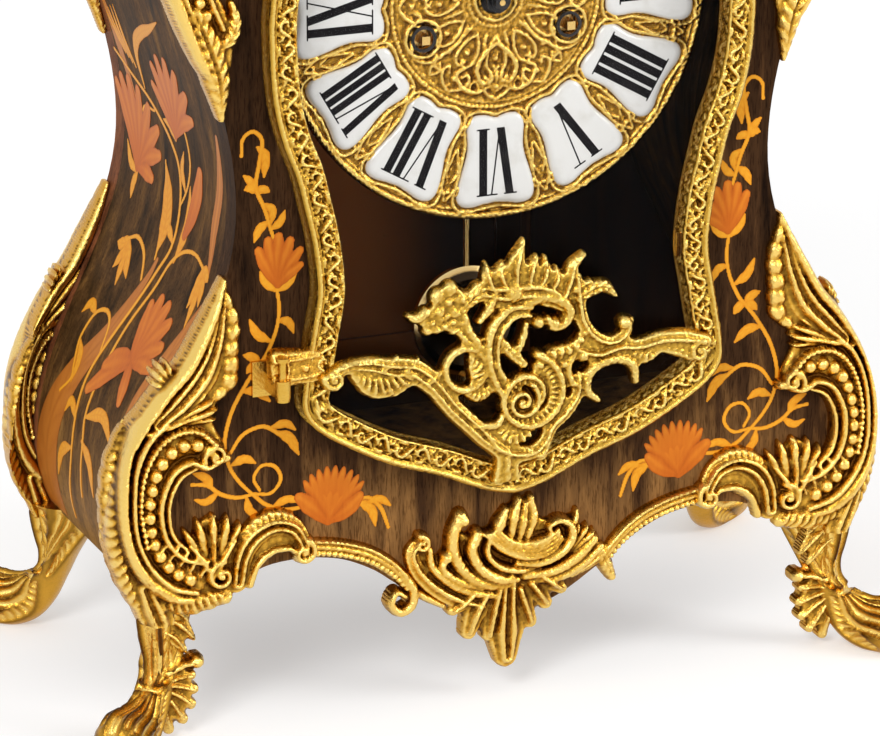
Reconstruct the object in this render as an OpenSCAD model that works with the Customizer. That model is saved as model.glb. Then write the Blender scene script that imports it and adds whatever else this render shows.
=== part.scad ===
// Carved table clock: a waisted rococo case on four scrolled legs, with gilt mounts, a hinged door
// over an embossed dial, and a spring-driven movement with a pendulum.
// X is the width, the front faces -Y, Z is up, and the origin is on the floor under the middle.

/* [Case] */
// Depth of the case from front board to back frame
case_depth = 120; // [112:1:132]
// Thickness of the front board
board_t = 9; // [8:0.5:11]
// Thickness of the back frame
back_t = 9; // [8:0.5:11]
// Thickness of the side and roof panels
side_t = 8; // [6:0.5:10]
// Half width of the case at its belly
belly_half_w = 128; // [124:1:134]
// Height of the belly above the floor
belly_z = 72; // [68:1:76]
// Half width at the waist
waist_half_w = 94.5; // [92:0.5:98]
// Height of the waist
waist_z = 182; // [176:1:188]
// Half width at the shoulders
shoulder_half_w = 111; // [107:1:115]
// Height of the shoulders
shoulder_z = 275; // [270:1:280]
// Half width under the top board
crest_half_w = 46; // [42:1:50]
// Height of the case without its top board
case_top = 374; // [368:1:380]
// Height of the case bottom above the floor
foot_h = 46; // [42:1:50]
// How far the case draws in between belly and bottom
foot_draw = 6; // [4:0.5:8]
// Thickness of the base board
base_t = 8; // [6:0.5:10]
// Height of the base board above the case bottom, behind the arched apron
base_lift = 13; // [12.5:0.5:16]
// Depth that the apron hangs below the case bottom
apron_drop = 18; // [14:1:22]
// Thickness of the top board
top_t = 7; // [5:0.5:9]
// Overhang of the top board
top_lip = 3; // [2:0.5:4]

/* [Dial and door] */
// Height of the dial centre above the floor
dial_z = 240; // [238:1:244]
// Radius of the dial to its rim
dial_r = 75; // [73:0.5:76]
// Thickness of the dial plate
dial_t = 1.5; // [1:0.1:2]
// Distance of the dial face behind the front board's face
dial_set = 10; // [9.5:0.5:11]
// Half width of the door's sight at its throat
throat_half_w = 60; // [58:0.5:62]
// Depth of the door's sight below the dial centre
sight_drop = 156; // [153:1:158]
// Width of the door frame's face
door_face_w = 9.5; // [8.5:0.5:10.5]
// Thickness of the door frame
door_t = 10.5; // [9.5:0.5:12]
// Gap between door and board
door_gap = 0.5; // [0.4:0.1:0.7]
// Thickness of the glass
glass_t = 2; // [1.5:0.5:3]
// Depth of the glass rebate
rebate_w = 3; // [2.5:0.25:3.5]
// Radius of the door's hinge pins
pin_r = 1.2; // [1:0.1:1.4]
// Wall of the hinge knuckles round the pins
knuckle_wall = 1.4; // [1:0.1:1.6]
// Length of one hinge knuckle
knuckle_l = 6; // [5:0.5:7]

/* [Mounts and legs] */
// Relief height of the cast mounts
mount_t = 6; // [4:0.5:7]
// Length that a corner mount wraps round the corner
wrap_l = 12; // [9:1:15]
// Outward reach of a foot along its diagonal
toe_reach = 41; // [37:1:43]
// Thickness of a leg
leg_t = 15; // [12:1:18]
// Height of the finial's plinth
plinth_h = 26; // [22:1:30]
// Height of the finial's vase
urn_h = 48; // [44:1:52]
// Height of the finial's flame
flame_h = 45; // [40:1:50]
// Greatest radius of the vase
urn_r = 21; // [18:0.5:24]

/* [Back door] */
// Half width of the back door
back_door_half_w = 60; // [57:1:63]
// Height of the back door's bottom edge
back_door_z = 76; // [74:1:80]
// Height at which the back door's arch begins
back_arch_z = 240; // [236:1:244]
// Thickness of the back door
back_door_t = 7; // [6:0.5:8]
// Width of the back door's wooden rim
back_rim_w = 14; // [12:0.5:16]
// Width of the rim's overlap on the back frame
back_lap = 5; // [4:0.5:6]

/* [Movement] */
// Distance between the winding arbors and the middle
arbor_dx = 25.7; // [25.4:0.1:26]
// Distance of the winding arbors below the dial centre
arbor_dz = 11; // [10.5:0.1:11.5]
// Free height between the movement plates
plate_gap = 10.5; // [10.3:0.1:12]
// Thickness of a movement plate
plate_t = 1.5; // [1.2:0.1:2]
// Space for the motion work between dial and front plate
motion_gap = 5; // [4.8:0.1:5.5]
// Half width of the movement plates
plate_half_w = 52; // [51:0.5:53]
// Radius of the barrels
barrel_r = 17.4; // [16:0.1:17.6]
// Radius of a winding arbor
winding_r = 2.2; // [2:0.1:2.4]
// Running clearance round every arbor and pin
run_gap = 0.05; // [0.03:0.01:0.09]
// Radius of the pendulum bob
bob_r = 19.2; // [17:0.2:20]
// Distance of the bob's middle below the dial centre
bob_drop = 118; // [114:1:121]
// Distance of the pendulum behind the back plate
rod_set = 5; // [4.5:0.1:6]
// Radius of the bell
bell_r = 26; // [24:0.5:27]

/* [Hidden] */
$fn = 48;
front_y = -case_depth / 2;
rear_y = case_depth / 2;
board_back = front_y + board_t;
frame_front = rear_y - back_t;
open_gap = 0.3;

// Dial, door and glass
sight_r = dial_r + 1;
board_open = door_face_w - 3;
door_back = front_y - door_gap;
door_front = door_back - door_t;
glass_back = door_back - 1.7;
glass_front = glass_back - glass_t;
// the hinge line stands outside the wider of the two parts of the door
hinge_x = max(sight_r, throat_half_w + 16) + door_face_w - 2.5;
hinge_zs = [-121, 29];
knuckle_r = pin_r + knuckle_wall;
knuckle_gap = 0.2;
ornament_t = 4.5;
ornament_lap = 2.5;

// Places along the depth of the movement
dial_face = front_y + dial_set;
dial_back = dial_face + dial_t;
front_plate_y = dial_back + motion_gap;
inner_y = front_plate_y + plate_t;
back_plate_y = inner_y + plate_gap;
outer_y = back_plate_y + plate_t;
rod_y = outer_y + rod_set;
plate_low = 40;
plate_high = 48;

// Wheel teeth, modules and centres, measured from the dial centre
great_teeth = 90;
strike_teeth = 80;
centre_pinion_teeth = 12;
great_module = norm([arbor_dx, arbor_dz]) * 2 / (great_teeth + centre_pinion_teeth);
cannon_teeth = 12;
minute_teeth = 36;
minute_pinion_teeth = 10;
hour_teeth = 40;
motion_dist = 9.6;
cannon_module = motion_dist * 2 / (cannon_teeth + minute_teeth);
hour_module = motion_dist * 2 / (hour_teeth + minute_pinion_teeth);
centre_teeth = 64;
third_pinion_teeth = 8;
train_module = 0.3;
third_dist = (centre_teeth + third_pinion_teeth) / 2 * train_module;
third_teeth = 60;
escape_pinion_teeth = 8;
escape_z = third_dist + (third_teeth + escape_pinion_teeth) / 2 * train_module;
escape_teeth = 30;
escape_r = 8;
swing_z = 38;
anchor_reach = escape_r + 1.9;

arbor_r = 1;
fine_r = 0.8;
cannon_r = 1.8;
hour_pipe_in = cannon_r + run_gap;
hour_pipe_r = 2.6;
winding_hole_r = 3.4;
foot_at = 50;
ring_r = 4.4;
ring_t = 0.8;
plate_relief = 1.6;
hour_hand_y = dial_face - 2.6;
minute_hand_y = dial_face - 4.2;
hand_t = 0.6;
rod_r = 1;
bob_t = 8;
hammer_x = -32;
hammer_z = 34;
bell_x = 12;
bell_z = 10;
bell_wall = 1.2;
bell_h = 14;
bell_y = rod_y + 9;

// Back door
back_hinge_x = back_door_half_w + 2.4;
back_hinge_y = rear_y + door_gap + back_door_t / 2;
back_open_half_w = back_door_half_w - back_lap;
latch_z = 165;
latch_x = back_open_half_w - 5;
latch_r = 2;
tongue_l = 13;

// Height steps from z0 to z1
function steps(z0, z1, n) = [for (i = [0:n]) z0 + (z1 - z0) * i / n];
// Smooth step from a to b while t goes from 0 to 1
function ease(a, b, t) = a + (b - a) * (1 - cos(180 * t)) / 2;
// Half width of the case at height z
function half_w(z) =
  z < belly_z ? belly_half_w - foot_draw * pow((belly_z - z) / (belly_z - foot_h), 2)
  : z < waist_z ? ease(belly_half_w, waist_half_w, (z - belly_z) / (waist_z - belly_z))
  : z < shoulder_z ? ease(waist_half_w, shoulder_half_w, (z - waist_z) / (shoulder_z - waist_z))
  : ease(shoulder_half_w, crest_half_w, (z - shoulder_z) / (case_top - shoulder_z));
function mirrored(p) = [for (i = [len(p) - 1:-1:0]) [-p[i][0], p[i][1]]];
function moved(p, d) = [for (q = p) q + d];
function spline(a, b, c, d, t) =
  0.5 * (2 * b + (c - a) * t + (2 * a - 5 * b + 4 * c - d) * t * t + (3 * b - a - 3 * c + d) * t * t * t);
// Smooth curve through the points p, with n steps between neighbours
function curve(p, n = 4) = concat(
  [for (i = [0:len(p) - 2], k = [0:n - 1])
    spline(p[max(i - 1, 0)], p[i], p[i + 1], p[min(i + 2, len(p) - 1)], k / n)],
  [p[len(p) - 1]]);
function along(p, i) = p[min(i + 1, len(p) - 1)] - p[max(i - 1, 0)];
function across(p, i) = let (d = along(p, i)) [-d[1], d[0]] / norm(d);
// Width of a ribbon at share t of its length, through w[0], w[1] and w[2]
function ribbon_w(w, t) = t < 0.5 ? ease(w[0], w[1], 2 * t) : ease(w[1], w[2], 2 * t - 1);
// Outline of a ribbon along the points p
function ribbon(p, w) = let (c = curve(p), n = len(c) - 1) concat(
  [for (i = [0:n]) c[i] + across(c, i) * ribbon_w(w, i / n) / 2],
  [for (i = [n:-1:0]) c[i] - across(c, i) * ribbon_w(w, i / n) / 2]);
// Turn of gear b that meets gear a, when b lies in direction phi and a is turned by turn_a
function mesh_turn(phi, turn_a, teeth_a, teeth_b) =
  phi + 180 - (0.5 - (phi - turn_a) * teeth_a / 360) * 360 / teeth_b;

// Upright plate: a drawing in X and Z, from y_back forwards by t
module upright(y_back, t) {
  translate([0, y_back, 0]) rotate([90, 0, 0]) linear_extrude(height = t) children();
}
// Round rod along Y at x and z, from y0 back to y1
module rod(x, z, y0, y1, r) {
  translate([x, y1, z]) rotate([90, 0, 0]) cylinder(h = y1 - y0, r = r);
}
module mirror_if(flip, v) {
  if (flip) mirror(v) children();
  else children();
}
module both_sides() {
  children();
  mirror([1, 0, 0]) children();
}
// Places a piece that is drawn at the front right corner
module at_corner(left, rear) {
  mirror_if(rear, [0, 1, 0]) mirror_if(left, [1, 0, 0]) children();
}
module case_outline(z0, z1, n = 60) {
  side = [for (z = steps(z0, z1, n)) [half_w(z), z]];
  polygon(concat(side, mirrored(side)));
}
module side_band(z0, z1, n) {
  outer = [for (z = steps(z0, z1, n)) [half_w(z), z]];
  inner = [for (z = steps(z1, z0, n)) [half_w(z) - side_t, z]];
  polygon(concat(outer, inner));
}

// Right half of the door's sight, from the top of its straight side to the bottom
function sight_side() = curve([
  [sight_r, 0], [sight_r - 1, -19], [sight_r - 4, -33], [sight_r - 8.5, -45],
  [throat_half_w + 4.5, -57], [throat_half_w + 1.5, -71], [throat_half_w, -88],
  [throat_half_w + 2.5, -104], [throat_half_w + 5.5, 34 - sight_drop]]);
function sight_foot() = curve([
  [throat_half_w + 4.5, 29 - sight_drop], [throat_half_w - 4, 23 - sight_drop], [41, 15 - sight_drop],
  [24, 9 - sight_drop], [8, 2 - sight_drop], [0, -sight_drop]]);
module sight(grow) {
  half = concat(
    [for (a = [88:-4:4]) sight_r * [cos(a), sin(a)]],
    sight_side(), sight_foot());
  translate([0, dial_z]) offset(delta = grow) polygon(concat([[0, sight_r]], half, mirrored(half)));
}

module front_board() {
  apron = curve([
    [half_w(foot_h), foot_h], [106, foot_h + 0.6], [97, foot_h + 6], [86, foot_h + 11],
    [74, foot_h + 12.2], [64, foot_h + 11.2], [56, foot_h + 9], [47, foot_h + 4.4],
    [40, foot_h - 0.8], [34, foot_h - 4.6], [18, foot_h - 14], [0, foot_h - apron_drop]]);
  side = [for (z = steps(foot_h, case_top, 60)) [half_w(z), z]];
  half = concat([for (i = [len(side) - 1:-1:1]) side[i]], apron);
  color("#3a2416") upright(board_back, board_t) difference() {
    polygon(concat(half, mirrored(half)));
    sight(board_open);
  }
}

module back_outline(half, z0, z1) {
  arch = [for (a = [0:6:180]) half * [cos(a), sin(a)] + [0, z1]];
  polygon(concat([[half, z0]], arch, [[-half, z0]]));
}

module back_frame() {
  color("#2b1c12") upright(rear_y, back_t) difference() {
    case_outline(foot_h, case_top);
    back_outline(back_open_half_w, back_door_z + back_lap, back_arch_z);
  }
}

module side_panel() {
  color("#4a3420") upright(frame_front, frame_front - board_back) side_band(foot_h, shoulder_z, 40);
}
module left_side_panel() { mirror([1, 0, 0]) side_panel(); }
module right_side_panel() { side_panel(); }

module roof_panels() {
  color("#4a3420") both_sides() upright(frame_front, frame_front - board_back)
    side_band(shoulder_z, case_top, 24);
}

module base_board() {
  base_z = foot_h + base_lift;
  side = [for (z = steps(base_z, base_z + base_t, 4))
    [half_w(z) - side_t * norm([1, (half_w(z + 1) - half_w(z - 1)) / 2]), z]];
  color("#5b4128") upright(frame_front, frame_front - board_back) polygon(concat(side, mirrored(side)));
}

module top_board() {
  half_x = crest_half_w + top_lip;
  half_y = case_depth / 2 + top_lip;
  color("#3a2416") {
    translate([-half_x, -half_y, case_top]) cube([2 * half_x, 2 * half_y, top_t * 0.6]);
    translate([top_lip - half_x, top_lip - half_y, case_top])
      cube([2 * crest_half_w, case_depth, top_t]);
  }
}

// Corner mount: distance outside the case's right edge, and height above the belly
corner_line = [
  [2, 88], [1.5, 80], [3, 68], [4, 56], [8.5, 48], [11, 40], [12, 31], [13, 21], [12, 10],
  [11, 0], [9, -10], [6, -19], [-1, -24], [-15.5, -23], [-24, -21], [-32, -19], [-36.5, -12],
  [-43.5, -7], [-49.5, -8], [-51.5, -13], [-55, -15], [-59, -11], [-58, -4], [-54, 2], [-47, 5],
  [-40, 4], [-34, 1], [-29, -1], [-25, 6], [-22.5, 20], [-23, 28], [-13.5, 35], [-16, 43],
  [-15.5, 52], [-11, 60], [-10.5, 69], [-4.5, 80]];
module corner_drawing() {
  line = [for (p = corner_line) [half_w(belly_z + p[1]) + p[0], belly_z + p[1]]];
  difference() {
    polygon(curve(concat(line, [line[0]]), 3));
    translate([belly_half_w - 17, belly_z + 10]) circle(r = 5.5);
  }
}
module corner_mount(left, rear) {
  color("#e0ac38") at_corner(left, rear) {
    upright(front_y, mount_t) corner_drawing();
    upright(front_y + wrap_l, wrap_l + mount_t / 2) difference() {
      corner_drawing();
      case_outline(foot_h - 4, waist_z);
    }
  }
}
module front_left_corner_mount() { corner_mount(true, false); }
module front_right_corner_mount() { corner_mount(false, false); }
module rear_left_corner_mount() { corner_mount(true, true); }
module rear_right_corner_mount() { corner_mount(false, true); }

// Leg profile along the diagonal of the corner
leg_line = curve([
  [-13, foot_h], [12, foot_h], [12.5, foot_h - 8], [9, foot_h - 17], [10.5, foot_h - 24],
  [17, 18], [26, 17], [toe_reach - 8, 18.5], [toe_reach - 2, 16.5], [toe_reach, 11],
  [toe_reach - 2, 4], [toe_reach - 6, 0]], 3);
leg_under = curve([[16, 0], [9, 7], [3, 16], [-1, foot_h - 20], [-5, foot_h - 11]], 3);
leg_x = belly_half_w - foot_draw - 4;
leg_y = case_depth / 2 - 9;
module leg(left, rear) {
  color("#d8a233") at_corner(left, rear) translate([leg_x, -leg_y, 0]) rotate([0, 0, -45]) {
    translate([0, leg_t / 2, 0]) rotate([90, 0, 0]) linear_extrude(height = leg_t)
      intersection() {
        polygon(concat(leg_line, leg_under));
        translate([-foot_h, 0]) square([2 * foot_h + toe_reach, foot_h]);
      }
    translate([toe_reach - 8, leg_t / 2 + 1.5, 10]) rotate([90, 0, 0])
      cylinder(h = leg_t + 3, r = 6);
  }
}
module front_left_leg() { leg(true, false); }
module front_right_leg() { leg(false, false); }
module rear_left_leg() { leg(true, true); }
module rear_right_leg() { leg(false, true); }

// Shoulder mount, drawn round the shoulder point of the right edge
shoulder_line = [
  [-10, -62], [-5, -54], [0, -44], [4, -30], [7, -14], [7.5, 2], [4, 16], [-4, 28], [-15, 38],
  [-26, 45], [-31, 41], [-27, 32], [-18, 24], [-15, 12], [-16, 0], [-13, -12], [-15, -24],
  [-12, -36], [-13, -48]];
module shoulder_drawing() {
  translate([shoulder_half_w, shoulder_z])
    polygon(curve(concat(shoulder_line, [shoulder_line[0]]), 3));
}
module shoulder_mount(left, rear) {
  color("#e0ac38") at_corner(left, rear) {
    upright(front_y, mount_t) shoulder_drawing();
    upright(front_y + wrap_l, wrap_l + mount_t / 2) difference() {
      shoulder_drawing();
      case_outline(waist_z, case_top);
    }
  }
}
module front_left_shoulder_mount() { shoulder_mount(true, false); }
module front_right_shoulder_mount() { shoulder_mount(false, false); }
module rear_left_shoulder_mount() { shoulder_mount(true, true); }
module rear_right_shoulder_mount() { shoulder_mount(false, true); }

// Apron mount and mouldings, drawn from the case bottom at the middle
apron_line = [
  [-2, 18], [3, 24], [8, 24], [10, 16], [19, 15], [23, 10], [22, 4], [28, 11], [31, 12], [31, 5],
  [25, -5], [20, -11], [14, -15], [8, -21], [4, -28], [0, -32], [-4, -28], [-8, -24], [-14, -22],
  [-20, -14], [-24, -4], [-30, 4], [-36, 11], [-31, 14], [-25, 9], [-22, 13], [-19, 20], [-14, 14],
  [-8, 12]];
// height left for the apron mount between the case's lower edge and the door
apron_rise = dial_z - sight_drop - door_face_w - 4.5 - foot_h;
apron_scale = apron_rise / max([for (p = apron_line) p[1]]);
module apron_mount() {
  line = [for (p = apron_line) [p[0], p[1] * (p[1] > 0 ? apron_scale : 1)]];
  color("#e0ac38") upright(front_y, mount_t) translate([0, foot_h])
    polygon(curve(concat(line, [line[0]]), 3));
}
module apron_mouldings() {
  inner_x = 30;
  run = belly_half_w - 62 - inner_x;
  band = [[inner_x + run, 16], [inner_x + 0.69 * run, 13], [inner_x + 0.42 * run, 7],
    [inner_x + 0.22 * run, -2], [inner_x, -5.5]];
  color("#d8a233") both_sides() upright(front_y, mount_t / 2) translate([0, foot_h]) {
    polygon(ribbon(band, [4, 5.5, 4.5]));
    translate([inner_x + 0.22 * run, -5]) circle(r = 4.5);
  }
}

crest_line = [
  [0, -2], [10, 3], [20, 1], [29, 8], [27, 17], [21, 20], [22, 29], [15, 36], [8, 37], [5, 43],
  [0, 46]];
crest_z = case_top - 46;
module crest_mount() {
  half = curve(crest_line, 3);
  color("#e0ac38") upright(front_y, mount_t) translate([0, crest_z])
    polygon(concat(half, mirrored(half)));
}

plinth_half_x = 36;
plinth_half_y = 30;
plinth_z = case_top + top_t;
module plinth_pad(shrink, z, h) {
  translate([shrink - plinth_half_x, shrink - plinth_half_y, z])
    cube([2 * (plinth_half_x - shrink), 2 * (plinth_half_y - shrink), h]);
}
module finial_plinth() {
  color("#d8a233") {
    plinth_pad(0, plinth_z, 4);
    hull() {
      plinth_pad(2, plinth_z + 4, 1);
      plinth_pad(12, plinth_z + plinth_h * 0.6, 1);
    }
    hull() {
      plinth_pad(12, plinth_z + plinth_h * 0.6, 1);
      plinth_pad(16, plinth_z + plinth_h - 5, 1);
    }
    plinth_pad(14, plinth_z + plinth_h - 4, 4);
  }
}
urn_z = plinth_z + plinth_h;
module finial_vase() {
  profile = curve([
    [13, 0], [13, 3], [7, 7], [5.5, 11], [urn_r - 8, 17], [urn_r, 27], [urn_r - 3, 35],
    [urn_r - 10, 40], [urn_r - 10, 42], [urn_r - 4, urn_h - 3], [urn_r - 4, urn_h]]);
  color("#e0ac38") translate([0, 0, urn_z]) rotate_extrude()
    polygon(concat([[0, 0]], profile, [[0, urn_h]]));
}
module finial_flame() {
  profile = curve([[9, 0], [14, 7], [15, 15], [11, 26], [6, 35], [3, 40], [0.5, flame_h]]);
  color("#e8b83a") translate([0, 0, urn_z + urn_h]) rotate_extrude()
    polygon(concat([[0, 0]], profile, [[0, flame_h]]));
}

// Vertical knuckle, bored for its pin
module knuckle(x, y, z, h, r, bore) {
  translate([x, y, z]) difference() {
    cylinder(h = h, r = r);
    translate([0, 0, -1]) cylinder(h = h + 2, r = bore);
  }
}
door_knuckle_z = knuckle_l + knuckle_gap;
module door_frame() {
  color("#e0ac38") difference() {
    union() {
      upright(glass_front, glass_front - door_front) difference() {
        sight(door_face_w);
        sight(0);
      }
      upright(door_back, door_back - glass_front) difference() {
        sight(door_face_w);
        sight(rebate_w);
      }
      rod(throat_half_w + rebate_w + 1.4, dial_z - 88, door_back - 1, door_back + 5, 0.9);
      for (z = hinge_zs) translate([-hinge_x, door_front - 1.5, dial_z + z + door_knuckle_z])
        cube([hinge_x - throat_half_w - 3, 4, knuckle_l]);
      for (z = hinge_zs) translate([-hinge_x, door_front, dial_z + z + door_knuckle_z])
        cylinder(h = knuckle_l, r = knuckle_r);
    }
    for (z = hinge_zs) translate([-hinge_x, door_front, dial_z + z])
      cylinder(h = 3 * knuckle_l, r = pin_r + run_gap);
    upright(glass_front, door_t) sight(0);
  }
}
module door_glass() {
  color("#c8d8dc", 0.35) upright(glass_back, glass_t) sight(rebate_w - 0.3);
}
clip_l = 8;
clip_t = 1.2;
clip_w = rebate_w - 1;
module glass_clips() {
  color("#b88a30") {
    for (a = [30, 90, 150]) translate([0, glass_back, dial_z]) rotate([0, -a, 0])
      translate([sight_r + 0.8, 0, -clip_l / 2]) cube([clip_w, clip_t, clip_l]);
    both_sides() translate([throat_half_w + 0.8, glass_back, dial_z - 88 - clip_l / 2])
      cube([clip_w, clip_t, clip_l]);
  }
}

// Pierced ornament of the door, drawn from the dial centre
ornament_z = 156 - sight_drop;
module stroke(p, w) {
  polygon(ribbon(p, w));
}
module door_ornament_drawing() {
  stroke([[-3, -131], [-10, -120], [-9, -113], [-5, -106], [2, -101], [10, -99]], [5, 5, 5]);
  translate([12, -102]) circle(r = 4);
  stroke([[22, -95], [22, -105], [26, -113], [32, -117], [38, -116], [41, -111]], [4, 5, 3.5]);
  translate([38.5, -109]) circle(r = 3);
  stroke([[28, -135], [24, -130], [26, -124], [32, -121], [38, -122], [42, -126], [41, -130]], [4, 5, 3.5]);
  stroke([[24, -121], [42, -120], [50, -118], [throat_half_w + 4, -118]], [5, 4, 5]);
  stroke([[-throat_half_w - 4, -118], [-55, -120], [-42, -117], [-35, -118], [-28, -125], [-22, -133],
    [-15, -142], [-8, -150]], [6, 8, 6]);
  stroke([[-8, -149], [0, -152], [10, -145], [19, -136], [23, -126], [22, -113]], [5, 6, 4]);
  stroke([[-4, -146], [-4, -sight_drop - ornament_lap]], [6, 6, 6]);
  translate([3, -132]) circle(r = 12);
  difference() {
    translate([-19, -119]) circle(r = 8);
    translate([-19, -119]) circle(r = 4.5);
  }
  translate([-23, -94]) circle(r = 6.5);
  stroke([[-24, -96], [-18, -104], [-10, -113]], [3, 3.5, 3]);
  stroke([[-34, -101], [-28, -100], [-22, -97]], [2, 5, 2]);
  stroke([[-6, -108], [-10, -96], [-11, -84]], [7, 7, 1.5]);
  stroke([[0, -102], [1, -88], [2, -77]], [9, 9, 1.5]);
  stroke([[7, -101], [9, -92], [10, -84]], [7, 6, 1.5]);
  stroke([[14, -102], [18, -93], [23, -84]], [7, 7, 1.5]);
  stroke([[20, -106], [28, -101], [34, -99]], [5, 5, 1.5]);
}
module door_ornament() {
  color("#e8b83a") {
    upright(door_front + ornament_t - 2.5, ornament_t) translate([0, dial_z + ornament_z])
      intersection() {
        door_ornament_drawing();
        translate([0, -ornament_z]) translate([0, -dial_z]) sight(-0.3);
      }
    for (x = [-throat_half_w - 4.5, throat_half_w + 4.5])
      upright(door_front, 2.5) translate([x, dial_z + ornament_z - 118]) circle(r = 3.5);
    upright(door_front, 2.5) translate([-4, dial_z - sight_drop - ornament_lap]) circle(r = 3.5);
  }
}

// the hinge leaf reaches from the knuckle almost to the shoulder mount
leaf_end = shoulder_half_w - 21;
module hinge_brackets() {
  color("#d8a233") for (z = hinge_zs) translate([0, 0, dial_z + z]) {
    translate([-leaf_end, front_y - 1.5, -2]) cube([leaf_end - hinge_x + 2, 1.5, 2 * knuckle_l]);
    difference() {
      translate([-hinge_x - knuckle_r, door_front, 0]) cube([knuckle_r, front_y - door_front, knuckle_l]);
      translate([-hinge_x, door_front, -1]) cylinder(h = knuckle_l + 2, r = knuckle_r);
    }
    knuckle(-hinge_x, door_front, 0, knuckle_l, knuckle_r, pin_r + run_gap);
  }
}
cap_t = 1.2;
module hinge_pins() {
  color("#c89a3a") for (z = hinge_zs) translate([-hinge_x, door_front, dial_z + z]) {
    translate([0, 0, -cap_t]) cylinder(h = cap_t, r = knuckle_r - 0.3);
    translate([0, 0, -cap_t]) cylinder(h = 2 * knuckle_l + 2 * cap_t + 0.5, r = pin_r);
    translate([0, 0, 2 * knuckle_l + 0.5]) cylinder(h = cap_t, r = knuckle_r - 0.3);
  }
}
module door_catch() {
  color("#b88a30") translate([throat_half_w + board_open + 0.5, board_back, dial_z - 94])
    cube([10, 1.2, 12]);
}

back_hinge_zs = [110, 215];
back_pin_r = 1;
back_knuckle_r = 2;
back_knuckle_l = 6;
module back_door() {
  color("#2b1c12") difference() {
    union() {
      upright(rear_y + door_gap + back_door_t, back_door_t) difference() {
        back_outline(back_door_half_w, back_door_z, back_arch_z);
        back_outline(back_door_half_w - back_rim_w, back_door_z + back_rim_w, back_arch_z);
      }
      for (z = back_hinge_zs) translate([-back_hinge_x, back_hinge_y, z + back_knuckle_l + knuckle_gap]) {
        cylinder(h = back_knuckle_l, r = back_knuckle_r);
        translate([0, -back_knuckle_r / 2, 0]) cube([4, back_knuckle_r, back_knuckle_l]);
      }
    }
    for (z = back_hinge_zs) translate([-back_hinge_x, back_hinge_y, z])
      cylinder(h = 3 * back_knuckle_l, r = back_pin_r + run_gap);
    rod(latch_x, latch_z, rear_y - 1, rear_y + 2 * back_door_t, latch_r + run_gap);
  }
}
module sound_grille() {
  r = 3.4;
  pitch = 9;
  inner = back_door_half_w - back_rim_w;
  color("#b88a30") upright(rear_y + door_gap + back_door_t / 2, 1.2) difference() {
    back_outline(inner, back_door_z + back_rim_w, back_arch_z);
    for (x = [-4:4], z = [0:17]) translate([x * pitch, back_door_z + back_rim_w + pitch * (z + 1)])
      circle(r = r, $fn = 6);
  }
}
module back_door_hinges() {
  color("#b88a30") for (z = back_hinge_zs) {
    translate([-back_hinge_x - 9, rear_y, z]) cube([9, 1.2, 2 * back_knuckle_l]);
    translate([-back_hinge_x - 1, rear_y, z])
      cube([1.8, back_hinge_y - rear_y - back_knuckle_r + 0.4, back_knuckle_l]);
    knuckle(-back_hinge_x, back_hinge_y, z, back_knuckle_l, back_knuckle_r, back_pin_r + run_gap);
  }
}
module back_door_pins() {
  color("#c89a3a") for (z = back_hinge_zs) translate([-back_hinge_x, back_hinge_y, z]) {
    translate([0, 0, -1]) cylinder(h = 1, r = back_knuckle_r - 0.2);
    translate([0, 0, -1]) cylinder(h = 2 * back_knuckle_l + 2, r = back_pin_r);
  }
}
module back_door_latch() {
  knob_y = rear_y + door_gap + back_door_t;
  color("#c89a3a") {
    rod(latch_x, latch_z, frame_front - 2, knob_y + 4, latch_r);
    rod(latch_x, latch_z, knob_y + 0.3, knob_y + 5, 6);
    translate([latch_x - 2.5, frame_front - 2, latch_z - tongue_l]) cube([5, 1.7, tongue_l + 2.5]);
  }
}

// Gear drawing with tapered teeth, its first tooth in direction turn
module gear(teeth, size, turn, root = 0.24, tip = 0.11) {
  root_r = size * teeth / 2 - 1.15 * size;
  tip_r = size * teeth / 2 + 0.75 * size;
  shares = [-root, -tip, tip, root];
  polygon([for (i = [0:teeth - 1], k = [0:3])
    let (a = turn + 360 / teeth * (i + shares[k]), r = k == 0 || k == 3 ? root_r : tip_r)
    r * [cos(a), sin(a)]]);
}
// Wheel or pinion at x and z from the dial centre, from y0 back by t, bored for its arbor
module wheel(x, z, y0, t, teeth, size, turn, bore) {
  translate([x, y0 + t, dial_z + z]) rotate([90, 0, 0]) linear_extrude(height = t) difference() {
    gear(teeth, size, turn);
    circle(r = bore);
  }
}
module wheel_disc(x, z, y0, t, teeth, size, turn) {
  translate([x, y0 + t, dial_z + z]) rotate([90, 0, 0]) linear_extrude(height = t)
    gear(teeth, size, turn);
}

module dial_plate() {
  color("#e8b83a") {
    difference() {
      union() {
        rod(0, dial_z, dial_face, dial_back, dial_r - 1);
        translate([0, dial_back, dial_z]) rotate([90, 0, 0]) rotate_extrude() translate([dial_r - 3, 0])
          square([3, dial_t + 1.8]);
        rod(0, dial_z, dial_face - 0.8, dial_face, 34);
        for (a = [45:90:315])
          rod(foot_at * cos(a), dial_z + foot_at * sin(a), dial_face, front_plate_y, 1.5);
      }
      rod(0, dial_z, dial_face - 2, dial_back + 1, 5);
      for (x = [-arbor_dx, arbor_dx])
        rod(x, dial_z - arbor_dz, dial_face - 2, dial_back + 1, winding_hole_r);
    }
  }
}
numeral_in = 38.5;
numeral_out = 70.5;
module numeral_plate() {
  half = [[15, numeral_out - 2], [13, numeral_out - 8], [11.5, 54], [10, 46], [10.7, numeral_in + 2],
    [5, numeral_in - 0.5]];
  side = curve(half, 3);
  polygon(concat([[0, numeral_out], [8, numeral_out - 0.8]], side, mirrored(side), [[-8, numeral_out - 0.8]]));
}
module numeral_plates() {
  color("#f2f0ea") upright(dial_face, plate_relief) translate([0, dial_z])
    for (a = [0:30:330]) rotate(a) numeral_plate();
}
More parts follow.
